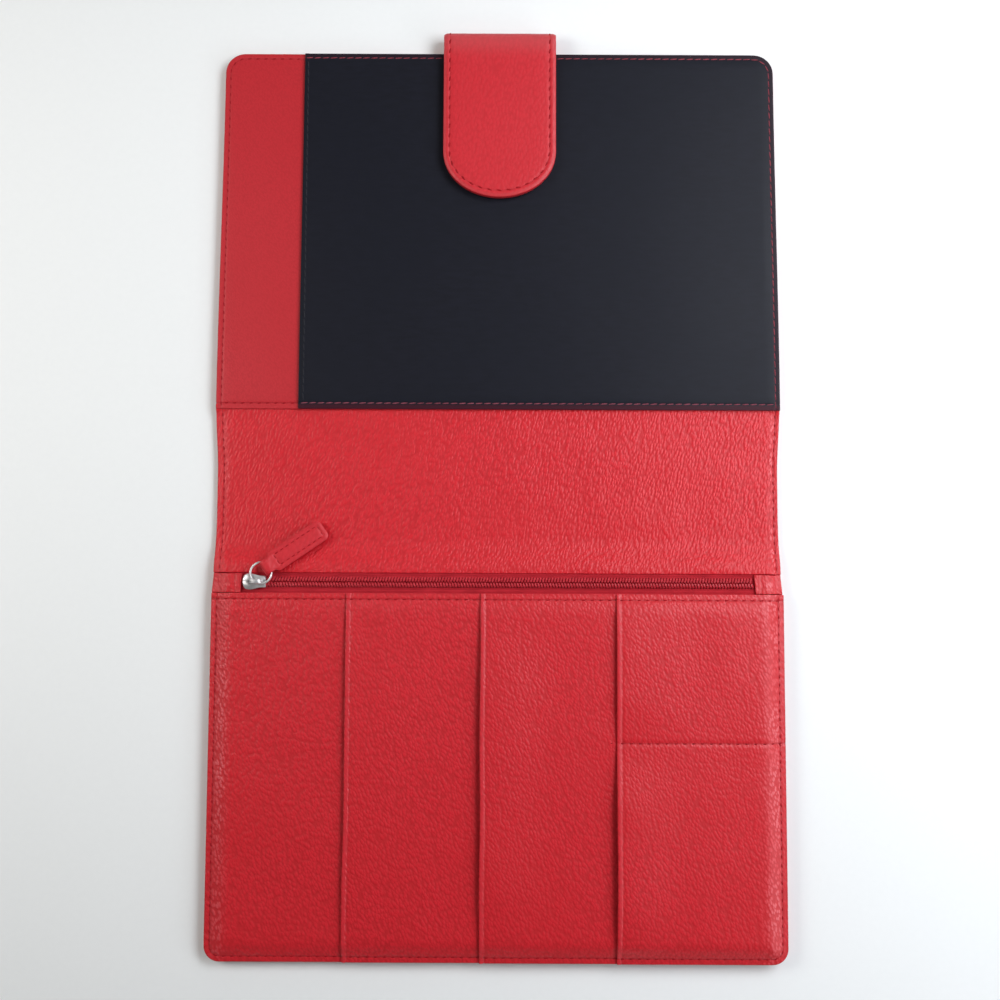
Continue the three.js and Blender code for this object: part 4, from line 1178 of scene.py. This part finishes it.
mouthGap, lineGap = seams["fromMouth"]
innerLine, hemX = lay["back"] + back["edgeStitch"], back["mouth"] + back["hem"]
outerRound = roundPath(cover["seam"], lay["top"])
liningRound = [p for p in roundPath(back["lining"]["seam"], lay["top"]) if p[0] < back["mouth"] - mouthGap]
liningEnds, blackEnds = (seams["lining"], back["mouth"] - lineGap), (back["mouth"] + lineGap, seams["black"])
blackRound = [p for p in roundPath(back["black"]["seam"], lay["top"]) if p[0] > back["mouth"] + mouthGap]
hemLine = line(hemX, lay["back"] + seams["hemEnds"], hemX, lay["top"] - seams["hemEnds"])
for name, finish, body, look, runs in (
        ("threadOuterFront", redThread, "front_panel", stitch, [outerSeam(frontRound)]),
        ("threadOuterBack", redThread, "back_panel", stitch, [outerSeam(outerRound)]),
        ("threadBackRed", redThread, "back_panel", stitch,
         [innerRun(liningRound, liningTop), levelRun(liningEnds, innerLine, liningTop)]),
        ("threadBackWine", wineThread, "back_panel", dict(fineStitch, width=0.48),
         [innerRun(blackRound, blackTop)]),
        ("threadBackPink", pinkThread, "back_panel", fineStitch, [levelRun(blackEnds, innerLine, blackTop)]),
        ("threadHem", darkThread, "back_panel", fineStitch, [innerRun(hemLine, blackTop)])):
    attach(threadPiece(name, finish, runs, look), body)
print("seams made")

# hidden stiffeners keep their solids
for node, finish in (("front_board", boardCard), ("back_board", boardCard),
                     ("keeper_magnet", magnetSteel), ("flap_magnet", magnetSteel)):
    kept = frame["nodes"][node]
    kept.data.materials.clear()
    kept.data.materials.append(finish)

# floor and light, in metres apart from the floor's reach and drop
room = {"floor": colour(238, 239, 237), "speck": colour(236, 237, 235), "pale": colour(236, 237, 236),
        "black": (0, 0, 0, 1), "reach": 6000, "drop": -0.3, "fade": (0.3, 0.5), "haze": (0.05, 0.45),
        "sky": (0.08, 0.08, 0.08, 1), "horizon": (0.24, 0.24, 0.24, 1)}
cool, warm, white = (0.96, 1, 1.07), (1.02, 1, 0.97), (1, 1, 1)
lamps = {"windowLight": {"place": (0.36, 0.14, 0.44), "size": (0.5, 0.26), "power": 3.3, "tint": cool},
         "fillLight": {"place": (-0.47, 0.1, 0.43), "size": (0.3, 0.3), "power": 1.65, "tint": warm},
         "rearLight": {"place": (0.05, 0.75, 0.36), "size": (0.8, 0.3), "power": 0.5, "tint": white},
         "sideLight": {"place": (0.62, -0.34, 0.3), "size": (0.5, 0.2), "power": 1.35, "tint": cool}}


def seenRay(wire):  # 1 where the eye looks straight at it, and 1 where a reflection does
    eye, glossy, through = (wire.node("ShaderNodeLightPath", {}, {}, "Is %s Ray" % kind)
                            for kind in ("Camera", "Glossy", "Transmission"))
    return eye, glossy + through


def floorBuild(place):  # its own pale colour far out, where the lamps don't reach
    speck = place.noise(2.5, 3)
    eye, mirrored = seenRay(place)
    away = place.node("ShaderNodeVectorMath", {"operation": "LENGTH"}, {0: place}, "Value")
    far = away.fit(*room["fade"]) * (eye + mirrored)
    near = speck.fit(0, 1).mix(room["speck"], room["floor"])
    return {"Base Color": far.mix(near, room["black"]), "Roughness": 0.75 + 0.05 * speck,
            "Specular IOR Level": 0.2, "Emission Color": far.mix(room["black"], room["pale"]),
            "Emission Strength": 1.0}


bm = bmesh.new()
bmesh.ops.create_grid(bm, x_segments=1, y_segments=1, size=room["reach"])
bmesh.ops.translate(bm, verts=bm.verts[:], vec=(0, 0, room["drop"]))
floor = putInScene(bm, "floor", makeFinish("floor", floorBuild))

world = bpy.data.worlds.new("studio")
scene.world = world
world.use_nodes = True
world.node_tree.nodes.clear()
sky = Wire(world.node_tree)
height = sky.node("ShaderNodeTexCoord", {}, {}, "Generated").axis("Z")
shade = height.fit(0, 1).mix(room["horizon"], room["sky"])
eye, mirrored = seenRay(sky)
seen = eye + mirrored * (1 - height.fit(*room["haze"]))
shade = seen.mix(shade, room["pale"])  # one pale ground with the floor
glow = sky.node("ShaderNodeBackground", {}, {"Color": shade, "Strength": 1.0})
sky.node("ShaderNodeOutputWorld", {}, {"Surface": glow})

for name, look in lamps.items():
    lamp = bpy.data.lights.new(name, "AREA")
    lamp.shape = "RECTANGLE"
    lamp.size, lamp.size_y = look["size"]
    lamp.energy = look["power"]
    lamp.color = look["tint"]
    made = bpy.data.objects.new(name, lamp)
    made.location = look["place"]
    made.rotation_euler = (-Vector(look["place"])).to_track_quat("-Z", "Y").to_euler()
    made.visible_camera = False
    scene.collection.objects.link(made)
print("floor and light made")
